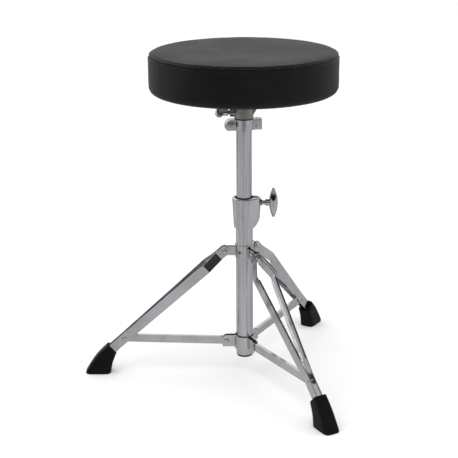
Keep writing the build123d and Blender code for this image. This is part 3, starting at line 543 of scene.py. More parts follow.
def metals():
    """Every plated metal: material name, clean and dull colour, roughness, haze, waves as (scale, height), grain
    as (scale, depth) and, where they differ, the pattern's stretch and the rounding of the edges."""
    metal, nickel = settings().throne_metal, settings().throne_rivets.nickel
    chrome, dull, satin, brass = metal.chrome, metal.chrome_dull, metal.satin, metal.brass
    tube, strip, cast = metal.chrome_roughness, metal.strip_roughness, metal.cast_roughness
    return {
        "chrome": ("Chrome tube", chrome, dull, tube, 0.03, (60.0, 0.00002), (900.0, 0.03), (1, 1, 0.12)),
        "strip": ("Chrome pressing", chrome, dull, strip, 0.04, (45.0, 0.00005), (700.0, 0.05)),
        "casting": ("Chrome casting", chrome, dull, cast, 0.03, (150.0, 0.00006), (1200.0, 0.04), (1, 1, 1), 0.001),
        "satin": ("Satin casting", satin, rgba(satin, 0.8), 0.36, 0.10, (400.0, 0.00008), (1600.0, 0.12)),
        "nickel": ("Nickel rivet", nickel, rgba(nickel, 0.75), 0.14, 0.08, (300.0, 0.00003), (1500.0, 0.05)),
        "zinc": ("Zinc steel", metal.zinc, (0.46, 0.45, 0.38), 0.30, 0.12, (500.0, 0.00003), (1500.0, 0.10)),
        "brass": ("Brass", brass, rgba(brass, 0.6), 0.22, 0.10, (500.0, 0.00003), (1500.0, 0.06)),
    }


def make_vinyl():
    """Embossed black vinyl: pebbled grain, puckers at both seams, duller creases in painted shade, a handled sheen
    partly painted.
    """
    values, stitch = settings().throne_cushion, settings().throne_stitches
    gloss = {"Specular IOR Level": 0.22, "Sheen Weight": 0.03, "Sheen Roughness": 0.45}
    material, graph, shader, vector = new_material("Black vinyl", gloss)
    count = stitch_count(stitch)
    grain = graph.group(leather_grain, vector=vector, cells=950.0)
    seams = [
        graph.group(seam_pucker, vector=vector, height=height, count=float(count), reach=0.0035)
        for height in (values.upper_seam, values.lower_seam)
    ]
    handled = graph.spread(graph.noise(vector, 9.0, 5.0, 0.6, 0.3), 0.40, 0.70, 0.0, 1.0)
    film = graph.group(dust, vector=vector, amount=0.02)
    # Painted sheen: in the handled patches the colour is made warmer and lighter; further down the same patches are
    # made glossier, the real gloss of handling.
    base = graph.blend(handled, rgba(values.vinyl), rgba(values.vinyl_handled_sheen))
    # Painted shade: the colour is darkened in the creases between the pebbles; further down they are also made
    # rougher.
    base = graph.blend(graph.times(grain["Crease"], 0.55), base, (0.0013, 0.0013, 0.0013, 1.0))
    base = graph.blend(film["Dust"], base, (0.06, 0.058, 0.053, 1.0))
    rough = graph.scaled(handled, -0.05, 0.43)
    rough = graph.scaled(grain["Crease"], 0.14, rough)
    rough = graph.plus(rough, film["Dust"], clamp=True)
    pucker = graph.plus(seams[0]["Height"], seams[1]["Height"])
    normal = graph.bump(grain["Height"], 0.55, 0.00009, Normal=graph.bump(pucker, 0.6, 0.00022))
    graph.surface(shader, base, rough, normal)
    return material


def make_thread():
    """Twisted thread: fine slanted strands over a matt dark fibre."""
    values = settings().throne_stitches
    material, graph, shader, vector = new_material("Black thread")
    strands = graph.node(
        "TexWave", {"Vector": vector, "Scale": 900.0, "Distortion": 2.0, "Detail": 1.0}, wave_type="BANDS",
        bands_direction="DIAGONAL",
    ).outputs[1]
    fuzz = graph.noise(vector, 3000.0, 2.0)
    tone = graph.blend(strands, rgba(values.thread, 0.6), rgba(values.thread, 2.2))
    graph.surface(shader, tone, graph.spread(fuzz, 0.3, 0.7, 0.45, 0.75), graph.bump(strands, 0.5, 0.00008))
    return material


def make_rubber():
    """Moulded rubber: a fine matt texture, scuffed edges with a greyer bloom, and dust."""
    values = settings().throne_boots
    material, graph, shader, vector = new_material("Black rubber", {"Specular IOR Level": 0.11})
    fine = graph.noise(vector, 1100.0, 4.0, 0.6)
    flow = graph.noise(vector, 55.0, 3.0, 0.5, 0.5)
    edges = graph.group(worn_edges, vector=vector, radius=0.0012, scale=140.0)
    film = graph.group(dust, vector=vector, amount=0.03)
    base = graph.blend(flow, rgba(values.rubber), rgba(values.rubber, 1.7))
    base = graph.blend(graph.times(edges["Edge"], 0.5), base, (0.020, 0.020, 0.021, 1.0))
    base = graph.blend(film["Dust"], base, (0.10, 0.098, 0.092, 1.0))
    rough = graph.spread(flow, 0.3, 0.7, 0.34, 0.46)
    rough = graph.scaled(fine, 0.06, rough)
    rough = graph.plus(rough, film["Dust"], clamp=True)
    graph.surface(shader, base, rough, graph.bump(fine, 0.5, 0.00006))
    return material


def make_nylon():
    """Turned black nylon: faint rings round the column and a soft sheen."""
    material, graph, shader, vector = new_material("Black nylon")
    rings = graph.noise(graph.stretched(vector, (0.05, 0.05, 1.0)), 2200.0, 2.0)
    tone = graph.noise(vector, 90.0, 3.0)
    film = graph.group(dust, vector=vector, amount=0.10)
    base = graph.blend(tone, (0.014, 0.014, 0.015, 1.0), (0.030, 0.030, 0.031, 1.0))
    base = graph.blend(film["Dust"], base, (0.12, 0.12, 0.11, 1.0))
    graph.surface(shader, base, graph.spread(tone, 0.3, 0.7, 0.34, 0.50), graph.bump(rings, 0.4, 0.00005))
    return material


def make_plywood():
    """Raw plywood: plies stacked in height on the edge, long grain and pores on the face."""
    material, graph, shader, vector = new_material("Plywood")
    plies = graph.node(
        "TexWave", {"Vector": vector, "Scale": 130.0, "Distortion": 0.4, "Detail": 2.0}, wave_type="BANDS",
        bands_direction="Z",
    ).outputs[1]
    fibres = graph.noise(graph.stretched(vector, (0.06, 1.0, 1.0)), 420.0, 5.0, 0.6, 0.5)
    pores = graph.spread(graph.noise(graph.stretched(vector, (0.10, 1.0, 1.0)), 1500.0, 2.0), 0.60, 0.72, 0.0, 1.0)
    base = graph.blend(plies, (0.36, 0.22, 0.115, 1.0), (0.52, 0.36, 0.21, 1.0))
    base = graph.blend(graph.times(fibres, 0.6), base, (0.27, 0.155, 0.075, 1.0))
    base = graph.blend(pores, base, (0.16, 0.09, 0.045, 1.0))
    graph.surface(
        shader, base,
        graph.spread(fibres, 0.3, 0.7, 0.62, 0.82),
        graph.bump(graph.minus(fibres, pores), 0.5, 0.00015),
    )
    return material


def make_dust_cloth():
    """Non-woven black cloth: a grid of bonded dimples over tangled fibres."""
    material, graph, shader, vector = new_material("Dust cloth")
    dimples = graph.node(
        "TexVoronoi", {"Vector": graph.stretched(vector, (1.0, 1.0, 0.1)), "Scale": 620.0, "Randomness": 0.15}
    ).outputs["Distance"]
    fibres = graph.noise(vector, 1800.0, 5.0, 0.7, 1.5)
    height = graph.scaled(fibres, 0.5, graph.spread(dimples, 0.1, 0.5, 0.0, 1.0))
    base = graph.blend(fibres, (0.012, 0.012, 0.013, 1.0), (0.045, 0.045, 0.047, 1.0))
    graph.surface(shader, base, graph.spread(fibres, 0.3, 0.7, 0.80, 0.95), graph.bump(height, 0.7, 0.00025))
    return material


def make_foam():
    """Open-cell foam: fine pores in a yellowish body."""
    material, graph, shader, vector = new_material("Foam")
    pores = graph.node("TexVoronoi", {"Vector": vector, "Scale": 900.0}).outputs["Distance"]
    tone = graph.noise(vector, 30.0, 4.0)
    base = graph.blend(tone, (0.58, 0.52, 0.34, 1.0), (0.66, 0.60, 0.42, 1.0))
    graph.surface(
        shader, graph.blend(pores, (0.30, 0.26, 0.15, 1.0), base),
        graph.spread(tone, 0.3, 0.7, 0.85, 0.95),
        graph.bump(pores, 0.8, 0.0004),
    )
    return material


def make_floor():
    """Smooth pale floor with the faintest mottling. Polished parts see not its lit colour but a glowing grey in its
    place, a painted reflection, greyer as a sheet of card would be beyond its lit middle, with soft broad patches."""
    values = settings().throne_stage
    material, graph, shader, place = new_material("Pale floor", {"Specular IOR Level": 0.1})
    tone = graph.noise(place, 1.2, 3.0)
    base = graph.blend(tone, rgba(values.floor), rgba(values.floor, 0.985))
    graph.surface(shader, base, graph.spread(tone, 0.3, 0.7, 0.80, 0.90))
    depth = graph.node("SeparateXYZ", {"Vector": place}).outputs["Y"]
    near = graph.spread(depth, -2.4, -1.5, 0.03, 1.0)
    far = graph.plus(graph.spread(depth, 0.2, 1.2, 1.0, 0.62), graph.spread(depth, 2.2, 3.5, 0.0, 0.8))
    patches = graph.spread(graph.noise(place, 1.6, 2.0), 0.3, 0.7, 0.82, 1.15)
    reach = graph.times(near, far)
    level = graph.times(graph.times(reach, patches), values.floor_mirror)
    # Painted reflection: polished parts see this glow in place of the lit floor.
    mirrored = graph.node("Emission", {"Color": (0.97, 0.98, 1.0, 1.0), "Strength": level})
    graph.mirror(shader, mirrored, "Material Output")
    return material


def make_world(values):
    """Surroundings: even white light for the scene, and for polished parts a bright backdrop that darkens
    overhead, a dark front at eye level under a grey canopy, soft patches and a bright window high at the left."""
    world = bpy.data.worlds.new("studio")
    world.use_nodes = True
    graph = Graph(world.node_tree)
    direction = graph.node("TexCoord").outputs["Generated"]
    parts = graph.node("SeparateXYZ", {"Vector": direction}).outputs
    back = graph.spread(parts["Z"], 0.55, 0.85, values.backdrop, values.zenith)
    canopy = graph.spread(parts["Z"], 0.14, 0.30, values.zenith, values.canopy)
    front = graph.spread(parts["Y"], -0.35, 0.05, 1.0, 0.0)
    gap = graph.times(front, graph.minus(canopy, back))
    patches = graph.spread(graph.noise(direction, 2.2, 2.0), 0.3, 0.7, 0.78, 1.15)
    level = graph.times(graph.plus(back, gap), patches)
    window = graph.spread(graph.dot(direction, (-0.30, -0.50, 0.81)), 0.978, 0.986, 0.0, 2.2)
    level = graph.plus(level, window)
    mirrored = graph.node("Background", {"Color": (1.0, 0.985, 0.96, 1.0), "Strength": level})
    even = graph.tree.nodes["Background"]
    even.inputs["Color"].default_value = (1.0, 1.0, 1.0, 1.0)
    even.inputs["Strength"].default_value = values.ambient
    graph.mirror(even, mirrored, "World Output")
    return world


FINISHES = {
    "vinyl": make_vinyl,
    "thread": make_thread,
    "rubber": make_rubber,
    "nylon": make_nylon,
    "plywood": make_plywood,
    "cloth": make_dust_cloth,
    "foam": make_foam,
    "floor": make_floor,
}
made_finishes = {}


def finish(name):
    """The named material, made the first time it is asked for."""
    if name not in made_finishes:
        made_finishes[name] = FINISHES[name]() if name in FINISHES else plated(*metals()[name])
    return made_finishes[name]


SLOT_FINISH = {
    "black_vinyl": "vinyl",
    "foam": "foam",
    "plywood": "plywood",
    "dust_cloth": "cloth",
    "zinc_steel": "zinc",
    "chrome": "strip",
    "cast_zinc": "satin",
    "nickel_rivet": "nickel",
    "nylon": "nylon",
    "brass": "brass",
    "black_rubber": "rubber",
}
TUBES = ("outer_tube", "inner_tube")
CASTINGS = (
    "height_clamp", "height_bolt_handle", "height_bolt_screw", "seat_lock_handle", "seat_lock_screw",
    "memory_lock_front", "memory_lock_rear", "memory_lock_key_bolt",
)


# ---------------------------------------------------------------- operators


class THRONE_OT_finishes(bpy.types.Operator):
    """Give every part of the packed model its finish"""

    bl_idname = "throne.finishes"
    bl_label = "Apply Finishes"

    def execute(self, context):
        slots = {part["node"]: part["material_slot"] for part in frame["record"]["subparts"]}
        for name, node in frame["nodes"].items():
            kind = SLOT_FINISH[slots[name]]
            kind = "chrome" if name in TUBES else "casting" if name in CASTINGS else kind
            node.data.materials.clear()
            node.data.materials.append(finish(kind))
        return {"FINISHED"}


# The last rows of the cushion's outer line lie flat under the board and aren't inflated. The form is held
# up to a height above its base while it is blown up over a number of frames.
FLAT_ROWS = 6
HELD_HEIGHT = 0.012
LAST_FRAME = 20


def cushion_profile(values):
    """Outer line of the cushion from the middle of the top, over the edge and the seams, down the side and
    under the board to the end of the folded lip, as (radius, height) rows that are close together at the seams."""
    edge = (SEAT_RADIUS - values.edge_radius, SEAT_TOP - values.edge_radius)
    base = (SEAT_RADIUS - values.base_radius, SEAT_BASE + values.base_radius)
    side_start = (SEAT_RADIUS, edge[1])
    dense_end = (SEAT_RADIUS, values.lower_seam - 0.005)
    return np.concatenate([
        run((0.0, SEAT_TOP), (edge[0] - 0.012, SEAT_TOP), 22),
        run((edge[0] - 0.012, SEAT_TOP), (edge[0], SEAT_TOP), 8),
        arc(edge, values.edge_radius, 90, 0, 34)[:-1],
        run(side_start, dense_end, 20),
        run(dense_end, (SEAT_RADIUS, base[1]), 18),
        arc(base, values.base_radius, 0, -90, 12)[:-1],
        run((base[0], SEAT_BASE), (LIP_RADIUS, SEAT_BASE), FLAT_ROWS - 2),
    ])


def inner_profile():
    """Inner line of the cushion: from the lip's end over the board's rim and top back to the axis."""
    return np.concatenate([
        run((LIP_RADIUS, SEAT_BASE), (LIP_RADIUS, BOARD_BASE), 2),
        run((LIP_RADIUS, BOARD_BASE), (BOARD_RADIUS, BOARD_BASE), 3),
        run((BOARD_RADIUS, BOARD_BASE), (BOARD_RADIUS, BOARD_TOP), 3),
        run((BOARD_RADIUS, BOARD_TOP), (0.0, BOARD_TOP), 6),
        [(0.0, BOARD_TOP)],
    ])


def cushion_relief(profile, turn, values):
    """How far each point of the cushion stands out: a bell-shaped crease on each seam, a low arch between
    them, a step back below the lower one, and slow waves round the side that fade towards top and base."""
    step_height, wave_height, pull_height = 0.0012, 0.022, 0.006
    radius, height = profile.T[..., None]
    outer = radius > SEAT_RADIUS - values.edge_radius - 0.004
    relief = np.zeros((len(profile), len(turn)))
    for seam in (values.upper_seam, values.lower_seam):
        relief = relief - outer * values.seam_depth * np.exp(-(((height - seam) / values.seam_width) ** 2))
    middle = (values.upper_seam + values.lower_seam) / 2
    half = (values.upper_seam - values.lower_seam) / 2
    arch = np.clip(1 - ((height - middle) / half) ** 2, 0, 1)
    relief = relief + outer * values.band_rise * arch
    below = np.clip((values.lower_seam - height) / step_height, 0, 1)
    relief = relief - values.side_step * below * below * (3 - 2 * below)
    slow = 0.5 * np.sin(7 * turn + 0.6) + 0.3 * np.sin(13 * turn + 2.1) + 0.2 * np.sin(29 * turn + 4.0)
    fade = np.exp(-(((height - (SEAT_BASE + values.lower_seam) / 2) / wave_height) ** 2)) * outer
    pull = np.exp(-np.clip(values.lower_seam - height, 0, 1) / pull_height) * (height < values.lower_seam)
    quick = np.sin(61 * turn + 1.3) * 0.6 + np.sin(97 * turn + 0.4) * 0.4
    return relief + values.ripple * (slow * fade + 0.45 * quick * pull)


def inflated_cushion(values):
    """Stuffed form under pressure: a smaller closed form is remeshed and blown up as cloth with its base held.
    The foam keeps a point from moving inwards, and its way outwards is capped. Returns a helper object."""
    lowest = (0.0, SEAT_BASE + 0.0006)
    small = np.maximum(cushion_profile(values) - values.slack, lowest)
    profile = np.concatenate([small, [lowest]])
    helper = new_object("cushion_form", lathe(profile, 160), quads(len(profile), 160))
    close_up(helper.data)
    remesh = helper.modifiers.new("Remesh", "REMESH")
    remesh.mode, remesh.voxel_size, remesh.use_smooth_shade = "VOXEL", values.voxel, True
    applied = bpy.data.meshes.new_from_object(helper.evaluated_get(bpy.context.evaluated_depsgraph_get()))
    helper.modifiers.clear()
    helper.data = applied
    rest = get_points(helper.data)
    held = helper.vertex_groups.new(name="held")
    held.add(np.flatnonzero(rest[:, 2] < SEAT_BASE + HELD_HEIGHT).tolist(), 1.0, "REPLACE")
    cloth = helper.modifiers.new("Cloth", "CLOTH")
    cloth.settings.use_pressure = True
    cloth.settings.uniform_pressure_force = 4.0
    cloth.settings.effector_weights.gravity = 0.0
    cloth.settings.vertex_group_mass = "held"
    cloth.settings.quality = 6
    cloth.point_cache.frame_start, cloth.point_cache.frame_end = 1, LAST_FRAME
    for number in range(1, LAST_FRAME + 1):
        bpy.context.scene.frame_set(number)
    blown = get_points(helper.evaluated_get(bpy.context.evaluated_depsgraph_get()).data)
    helper.modifiers.clear()
    normal = np.empty(len(rest) * 3)
    helper.data.vertices.foreach_get("normal", normal)
    normal = normal.reshape(-1, 3)
    way = np.einsum("ij,ij->i", blown - rest, normal)
    way = values.swell * np.tanh(np.clip(way, 0.0, None) / values.swell)
    ends = np.empty(len(helper.data.edges) * 2, dtype=np.int32)
    helper.data.edges.foreach_get("vertices", ends)
    first, second = ends.reshape(-1, 2).T
    degree = np.bincount(ends, minlength=len(way))
    for _ in range(values.evening):
        total = np.bincount(first, way[second], len(way)) + np.bincount(second, way[first], len(way))
        way = (way + total / degree) / 2
    set_points(helper.data, rest + normal * way[:, None])
    bpy.context.scene.frame_set(1)
    return helper


# How far the inflation moves each seam, left by the cushion for the stitches.
seam_shift = {}


class THRONE_OT_cushion(bpy.types.Operator):
    """Build the stuffed and sewn seat cushion"""

    bl_idname = "throne.cushion"
    bl_label = "Build Cushion"

    def execute(self, context):
        values = context.scene.throne_cushion
        outer, inner = cushion_profile(values), inner_profile()
        form = inflated_cushion(values)
        skin = lathe(outer, values.columns)
        wrapped = wrapped_on(skin, form, len(outer) - FLAT_ROWS)
        bpy.data.objects.remove(form)
        step = np.gradient(outer, axis=0)
        normal = np.stack([step[:, 1], -step[:, 0]], axis=-1)
        normal /= np.maximum(np.linalg.norm(normal, axis=1, keepdims=True), 1e-12)
        turn = np.linspace(0, 2 * np.pi, values.columns, endpoint=False)
        for seam in (values.upper_seam, values.lower_seam):
            row = np.argmin(np.abs(outer[:, 1] - seam) + (outer[:, 0] < SEAT_RADIUS - values.edge_radius))
            moved = wrapped[row] - skin[row]
            out = moved[:, 0] * np.cos(turn) + moved[:, 1] * np.sin(turn)
            seam_shift[round(seam, 5)] = (turn, out, moved[:, 2])
        relief = cushion_relief(outer, turn, values)[..., None]
        across = np.stack([np.cos(turn), np.sin(turn)], axis=-1)
        wrapped[..., :2] += normal[:, None, 0:1] * relief * across
        wrapped[..., 2:] += normal[:, None, 1:2] * relief
        grid = np.concatenate([wrapped, lathe(inner, values.columns)])
        cushion = piece("seat_cushion", [grid], "seat", finish("vinyl"), sharp=50.0)
        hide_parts("seat_top_panel", "seat_side_band", "seat_foam")
        return {"FINISHED"}


def wrapped_on(skin, form, rows):
    """The skin's first rows laid on the nearest points of the inflated form; the rest keeps its place."""
    holder = new_object("skin", skin[:rows], np.empty((0, 4), int))
    wrap = holder.modifiers.new("Wrap", "SHRINKWRAP")
    wrap.target, wrap.wrap_method = form, "NEAREST_SURFACEPOINT"
    laid = get_points(holder.evaluated_get(bpy.context.evaluated_depsgraph_get()).data)
    bpy.data.objects.remove(holder)
    result = skin.copy()
    result[:rows] = laid.reshape(result[:rows].shape)
    return result


def stitch_count(values):
    """Whole number of stitches round the seat."""
    return int(round(2 * math.pi * SEAT_RADIUS / values.pitch))


def stitch_row(radius, height, lean, seam, values):
    """A ring of stitches: each is a short round thread bent along the ring whose middle stands proud and
    whose ends dive in, out = sag (1 - t^2) - sink, thickness = radius (1 - t^6)^(1/2). The ring follows the
    inflated cushion at its seam."""
    count = stitch_count(values)
    start = np.linspace(0, 2 * np.pi, count, endpoint=False)[:, None, None]
    t = np.linspace(-1, 1, 7)[None, :, None]
    around = np.linspace(0, 2 * np.pi, 8, endpoint=False)[None, None, :]
    turn = start + t * values.reach / 2 / radius + 0 * around
    thick = values.radius * np.sqrt(np.clip(1 - t**6, 0, 1))
    out = values.radius * 0.9 * (1 - t**2) - values.radius * 0.5
    level = out * math.cos(lean) + thick * np.cos(around)
    places, aside, lift = seam_shift[round(seam, 5)]
    ring = radius + level + np.interp(turn, places, aside, period=2 * np.pi)
    up = height + out * math.sin(lean) + thick * np.sin(around) + np.interp(turn, places, lift, period=2 * np.pi)
    return np.stack([ring * np.cos(turn), ring * np.sin(turn), up], axis=-1)


class THRONE_OT_stitches(bpy.types.Operator):
    """Sew the two rows of stitches round the cushion's edge"""

    bl_idname = "throne.stitches"
    bl_label = "Sew Stitches"

    def execute(self, context):
        seat, values = context.scene.throne_cushion, context.scene.throne_stitches
        rise = seat.upper_seam - (SEAT_TOP - seat.edge_radius)
        lean = math.asin(rise / seat.edge_radius)
        upper = SEAT_RADIUS - seat.edge_radius + seat.edge_radius * math.cos(lean) - seat.seam_depth * 0.7
        lower = SEAT_RADIUS - seat.seam_depth * 0.8
        rows = [
            stitch_row(upper, seat.upper_seam - seat.seam_depth * 0.5, lean, seat.upper_seam, values),
            stitch_row(lower, seat.lower_seam, 0.0, seat.lower_seam, values),
        ]
        piece("seat_stitches", rows, "seat", finish("thread"), sharp=80.0)
        return {"FINISHED"}


def superellipse(half_u, half_v, power, columns):
    """Rounded rectangle: u = a |cos|^(2/n), v = b |sin|^(2/n) with their signs."""
    around = np.linspace(0, 2 * np.pi, columns, endpoint=False) + np.pi / columns
    cosine, sine = np.cos(around), np.sin(around)
    u = half_u[:, None] * np.sign(cosine) * np.abs(cosine) ** (2 / power[:, None])
    v = half_v[:, None] * np.sign(sine) * np.abs(sine) ** (2 / power[:, None])
    return u, v


def boot_surface(values, pivot, slope):
    """Closed boot in the plane of a leg (x outwards, y sideways, z up): rounded rectangles whose middle moves
    from the sole to the mouth on a bowed line, whose plane turns from level to square across the leg, and whose
    size shrinks on the way; the rim rolls over and the same rings line the pocket for the strips."""
    along = np.array([math.cos(slope), -math.sin(slope)])
    mouth = pivot + along * values.mouth
    sole = np.array([(values.sole_start + values.sole_end) / 2, values.sole_edge])
    sole_u, sole_v = (values.sole_end - values.sole_start) / 2, values.sole_width / 2
    rim = 0.0011
    t = np.linspace(0, 1, 26)[1:]
    ease = t * t * (3 - 2 * t)
    bow = values.bow * np.sin(np.pi * t) ** 1.2
    outwards = np.array([math.sin(slope), math.cos(slope)])
    middle = sole + t[:, None] * (mouth - along * -rim - sole) + bow[:, None] * outwards
    tilt = (math.pi / 2 - slope) * (0.75 * t + 0.25 * ease)
    pinch = 1 - 0.05 * np.sin(np.pi * t)
    size_u = (sole_u * (1 - t) + values.mouth_height / 2 * t) * pinch
    size_v = (sole_v * (1 - t) + values.mouth_width / 2 * t) * (1 - 0.03 * np.sin(np.pi * t))
    edge = values.sole_edge
    foot_rows = [
        (0.0, 0.0010, 0.0, 4.0), (0.60, 0.0010, 0.60, 4.0), (0.72, 0.0, 0.70, 4.4), (0.955, 0.0, 0.93, 4.6),
        (0.985, 0.0004, 0.98, 4.6), (1.0, 0.0012, 1.0, 4.6), (1.0, edge * 0.85, 1.0, 4.6), (0.993, edge, 0.99, 4.6),
    ]
    scale_u, level, scale_v, foot_power = np.array(foot_rows).T
    foot_middle = np.stack([np.full(len(level), sole[0]), level], axis=-1)
    rolls = np.radians([30.0, 60.0, 90.0])
    depth = np.array([0.0, 0.0006, values.pocket_depth * 0.5, values.pocket_depth, values.pocket_depth])
    roll_middle = mouth + along * (rim * (1 - np.sin(rolls)))[:, None]
    pocket_middle = mouth + along * depth[:, None]
    centres = np.concatenate([foot_middle, middle, roll_middle, pocket_middle])
    tilts = np.concatenate([np.zeros(len(level)), tilt, np.full(len(rolls) + len(depth), math.pi / 2 - slope)])
    half_u, half_v = (
        np.concatenate([foot, size, last - rim * (1 - np.cos(rolls)), wall + np.array([0.0004, 0, 0, 0, -wall])])
        for foot, size, last, wall in (
            (scale_u * sole_u, size_u, values.mouth_height / 2, values.pocket_height / 2),
            (scale_v * sole_v, size_v, values.mouth_width / 2, values.pocket_width / 2),
        )
    )
    power = np.concatenate([foot_power, 4.6 + 0.6 * t, [5.2, 5.2, 5.2, 8.0, 9.0, 9.0, 9.0, 9.0]])
    u, v = superellipse(half_u, half_v, power, 72)
    x = centres[:, 0:1] + u * np.cos(tilts)[:, None]
    z = centres[:, 1:2] + u * np.sin(tilts)[:, None]
    return np.stack([x, v, z], axis=-1)


def turned(points, azimuth):
    """Points turned about Z by an angle."""
    cosine, sine = math.cos(azimuth), math.sin(azimuth)
    return points @ np.array([[cosine, sine, 0.0], [-sine, cosine, 0.0], [0.0, 0.0, 1.0]])


def leg_plane(name):
    """A leg's azimuth, its pivot as (distance, height) and its slope down to the knee."""
    pivot = JOINTS[name + "_leg_fold"]["pos_m"]
    low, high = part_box(name + "_knee_rivets")
    knee = (low + high) / 2
    reach, out = math.hypot(pivot[0], pivot[1]), math.hypot(knee.x, knee.y)
    return math.atan2(pivot[1], pivot[0]), np.array([reach, pivot[2]]), math.atan2(pivot[2] - knee.z, out - reach)


class THRONE_OT_boots(bpy.types.Operator):
    """Mould the three rubber boots"""

    bl_idname = "throne.boots"
    bl_label = "Mould Boots"

    def execute(self, context):
        for name in LEGS:
            azimuth, pivot, slope = leg_plane(name)
            surface = turned(boot_surface(context.scene.throne_boots, pivot, slope), azimuth)
            boot = piece(name + "_boot", [surface], name + "_leg", finish("rubber"), sharp=60.0)
            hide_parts(name + "_foot")
        return {"FINISHED"}


def dome_profile(radius, height, dimple):
    """Domed head from its middle to its rim: height (1 - (r / radius)^2.4)^0.75, less a small bell-shaped
    dimple in the middle."""
    part = np.sin(np.linspace(0, np.pi / 2, 18))
    crown = height * np.clip(1 - part**2.4, 0, 1) ** 0.75
    crown -= dimple * np.exp(-((part * radius / 0.0011) ** 2))
    return np.stack([part * radius, crown], axis=-1)


def two_headed(grip, values):
    """Rivet along Z with a domed head beyond each end of its grip."""
    head = dome_profile(values.head, values.dome, values.dimple) + [0.0, grip]
    half = np.concatenate([head, run((values.head, grip), (values.shank, grip), 3), [(values.shank, grip)]])
    return lathe(np.concatenate([half, half[::-1] * [1.0, -1.0]]), 48)


def one_headed(start, face, values):
    """Stub along Z from start to its domed head on a face."""
    head = dome_profile(values.head, values.dome, values.dimple) + [0.0, face]
    tail = [(values.shank, face), (values.shank, start), (0.0, start)]
    return lathe(np.concatenate([head, tail]), 48)


def tubular(face, values):
    """Tubular rivet along Z: a rolled rim round a hollow whose floor lies below the face."""
    radius, hole, rise = values.hub_head, values.hub_head * 0.42, 0.0011
    floor, tail = face - 0.0016, face - 0.0024
    rim = arc(((radius + hole) / 2, face), (radius - hole) / 2, 180, 0, 12)
    rim[:, 1] = face + (rim[:, 1] - face) * rise / ((radius - hole) / 2)
    start, end = [(0.0, floor), (hole * 0.9, floor)], [(values.shank, face), (values.shank, tail), (0.0, tail)]
    return lathe(np.concatenate([start, rim, end]), 40)


class THRONE_OT_rivets(bpy.types.Operator):
    """Set the rivets of the hubs, pivots and knees"""

    bl_idname = "throne.rivets"
    bl_label = "Set Rivets"

    def execute(self, context):
        values = context.scene.throne_rivets
        nickel = finish("nickel")
        for kind, body, grip in (("leg", "column", values.leg_grip), ("brace", "lower_hub", values.brace_grip)):
            joints = [JOINTS[f"{name}_{kind}_fold"] for name in LEGS]
            rivet = two_headed(grip, values)
            rings = [placed(rivet, joint["pos_m"], joint["axis"]) for joint in joints]
            made = piece(f"{kind}_pivot_domes", rings, body, nickel)
            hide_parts(f"{kind}_pivot_rivets")
        for name in LEGS:
            low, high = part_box(name + "_knee_rivets")
            axis = np.array(JOINTS[name + "_leg_fold"]["axis"])
            stub = one_headed(values.knee_grip - values.strip, values.knee_grip, values)
            pair = [placed(stub, (low + high) / 2, axis * sign) for sign in (1, -1)]
            made = piece(name + "_knee_domes", pair, name + "_leg", nickel)
            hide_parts(name + "_knee_rivets")
        level = JOINTS["left_leg_fold"]["pos_m"][2]
        rivet = tubular(values.hub_face, values)
        rings = []
        for name in LEGS:
            turn = leg_plane(name)[0] + math.pi / 3
            rings.append(placed(rivet, (0.0, 0.0, level), (math.cos(turn), math.sin(turn), 0.0)))
        made = piece("hub_tubular_rivets", rings, "column", nickel)
        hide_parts("hub_fixing_rivets")
        return {"FINISHED"}


def screw_thread(radius, depth, pitch, start, end):
    """Threaded rod along Z: radius + depth times a triangle wave of height / pitch - turn / (2 pi), faded out
    at both ends, with rounded ends that close on the axis."""
    height = np.linspace(start, end, int(abs(end - start) / pitch * 10) + 2)[:, None]
    turn = np.linspace(0, 2 * np.pi, 40, endpoint=False)[None, :]
    phase = (height / pitch - turn / (2 * np.pi)) % 1.0
    fade = np.clip(np.minimum(np.abs(height - start), np.abs(end - height)) / (pitch * 0.6), 0, 1)
    ridge = radius + depth * (np.abs(phase * 2 - 1) - 0.5) * fade
    body = np.stack(np.broadcast_arrays(ridge * np.cos(turn), ridge * np.sin(turn), height), axis=-1)
    first, last = (np.broadcast_to([0.0, 0.0, level], (1, 40, 3)) for level in (start, end))
    return np.concatenate([first, body, last])


THREAD_TUCK = 0.0012  # how far a thread reaches into its handle
SLEEVE_TUCK = 0.0005  # how far the height bolt's thread starts inside its sleeve
LOCK_THREAD = 0.0042  # length of the seat lock's thread


class THRONE_OT_threads(bpy.types.Operator):
    """Cut the threads that show between the bolts' handles and their sleeves"""

    bl_idname = "throne.threads"
    bl_label = "Cut Threads"

    def execute(self, context):
        metal = context.scene.throne_metal
        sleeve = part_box("clamp_thread_insert")[1].x - SLEEVE_TUCK
        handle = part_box("height_bolt_handle")[0].x + THREAD_TUCK
        lock = -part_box("seat_lock_handle")[1].x + THREAD_TUCK
        for name, body, radius, start, end, way in (
            ("height_bolt", "height_bolt", 0.0037, sleeve, handle, 1.0),
            ("seat_lock", "seat_lock_bolt", 0.00345, lock - LOCK_THREAD, lock, -1.0),
        ):
            level = JOINTS[name + "_turn"]["pos_m"][2]
            rod = screw_thread(radius, metal.thread_depth, metal.thread_pitch, start, end)
            rod = placed(rod, (0.0, 0.0, level), (way, 0.0, 0.0))
            piece(name + "_thread", [rod], body, finish("casting"))
        return {"FINISHED"}


def panel_light(name, place, target, size, power):
    """Square soft light at place that faces target and isn't mirrored itself."""
    data = bpy.data.lights.new(name, "AREA")
    data.shape, data.size, data.energy = "SQUARE", size, power
    lamp = bpy.data.objects.new(name, data)
    bpy.context.scene.collection.objects.link(lamp)
    towards = (Vector(target) - Vector(place)).to_track_quat("-Z", "Y").to_matrix()
    lamp.matrix_world = Matrix.Translation(place) @ towards.to_4x4()
    lamp.visible_camera = lamp.visible_glossy = False


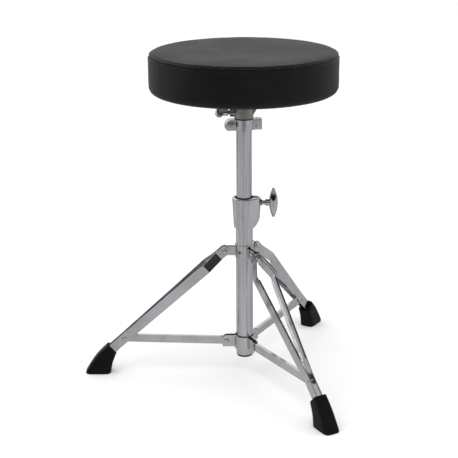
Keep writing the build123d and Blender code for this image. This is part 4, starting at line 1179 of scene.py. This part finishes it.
class THRONE_OT_stage(bpy.types.Operator):
    """Lay the floor, hang the lights and set the camera"""

    bl_idname = "throne.stage"
    bl_label = "Set Stage"

    def execute(self, context):
        values, scene = context.scene.throne_stage, context.scene
        rings = np.linspace(0, 1, 40) ** 2 * values.floor_radius
        floor = new_object("floor", lathe(np.stack([rings, 0 * rings], axis=-1), 96), quads(40, 96))
        close_up(floor.data)
        floor.data.materials.append(finish("floor"))
        panel_light("ceiling_panel", (-0.6, -0.8, 3.0), (0.0, 0.0, 0.3), 3.5, values.ceiling)
        scene.world = make_world(values)
        data = bpy.data.cameras.new("camera")
        data.sensor_width, data.lens, data.shift_x = 36.0, values.lens, values.shift
        data.clip_end = 60.0
        camera = bpy.data.objects.new("camera", data)
        scene.collection.objects.link(camera)
        spot = Matrix.Translation((0.0, -values.camera_distance, values.camera_height))
        tilt = Matrix.Rotation(math.pi / 2 - values.camera_pitch, 4, "X")
        camera.matrix_world = spot @ tilt @ Matrix.Rotation(values.camera_roll, 4, "Z")
        scene.camera = camera
        scene.view_settings.view_transform = "Standard"
        return {"FINISHED"}


class THRONE_PT_sidebar(bpy.types.Panel):
    """Settings and steps of the drum throne"""

    bl_idname = "THRONE_PT_sidebar"
    bl_label = "Drum Throne"
    bl_space_type = "VIEW_3D"
    bl_region_type = "UI"
    bl_category = "Throne"

    def draw(self, context):
        for group, attribute in SETTINGS.items():
            values = getattr(context.scene, attribute)
            box = self.layout.box()
            box.label(text=group.__doc__)
            for key in group.__annotations__:
                box.prop(values, key)
        for operator in OPERATORS:
            self.layout.operator(operator.bl_idname)


SETTINGS = {
    ThroneCushionSettings: "throne_cushion",
    ThroneStitchSettings: "throne_stitches",
    ThroneBootSettings: "throne_boots",
    ThroneRivetSettings: "throne_rivets",
    ThroneMetalSettings: "throne_metal",
    ThroneStageSettings: "throne_stage",
}
OPERATORS = (
    THRONE_OT_finishes,
    THRONE_OT_cushion,
    THRONE_OT_stitches,
    THRONE_OT_boots,
    THRONE_OT_rivets,
    THRONE_OT_threads,
    THRONE_OT_stage,
)


def register():
    for group, attribute in SETTINGS.items():
        bpy.utils.register_class(group)
        setattr(bpy.types.Scene, attribute, PointerProperty(type=group))
    for item in (*OPERATORS, THRONE_PT_sidebar):
        bpy.utils.register_class(item)


def unregister():
    for item in (THRONE_PT_sidebar, *reversed(OPERATORS)):
        bpy.utils.unregister_class(item)
    for group, attribute in reversed(SETTINGS.items()):
        delattr(bpy.types.Scene, attribute)
        bpy.utils.unregister_class(group)


def main():
    register()
    bpy.ops.throne.finishes()
    bpy.ops.throne.cushion()
    bpy.ops.throne.stitches()
    bpy.ops.throne.boots()
    bpy.ops.throne.rivets()
    bpy.ops.throne.threads()
    bpy.ops.throne.stage()


if __name__ == "__main__":
    main()
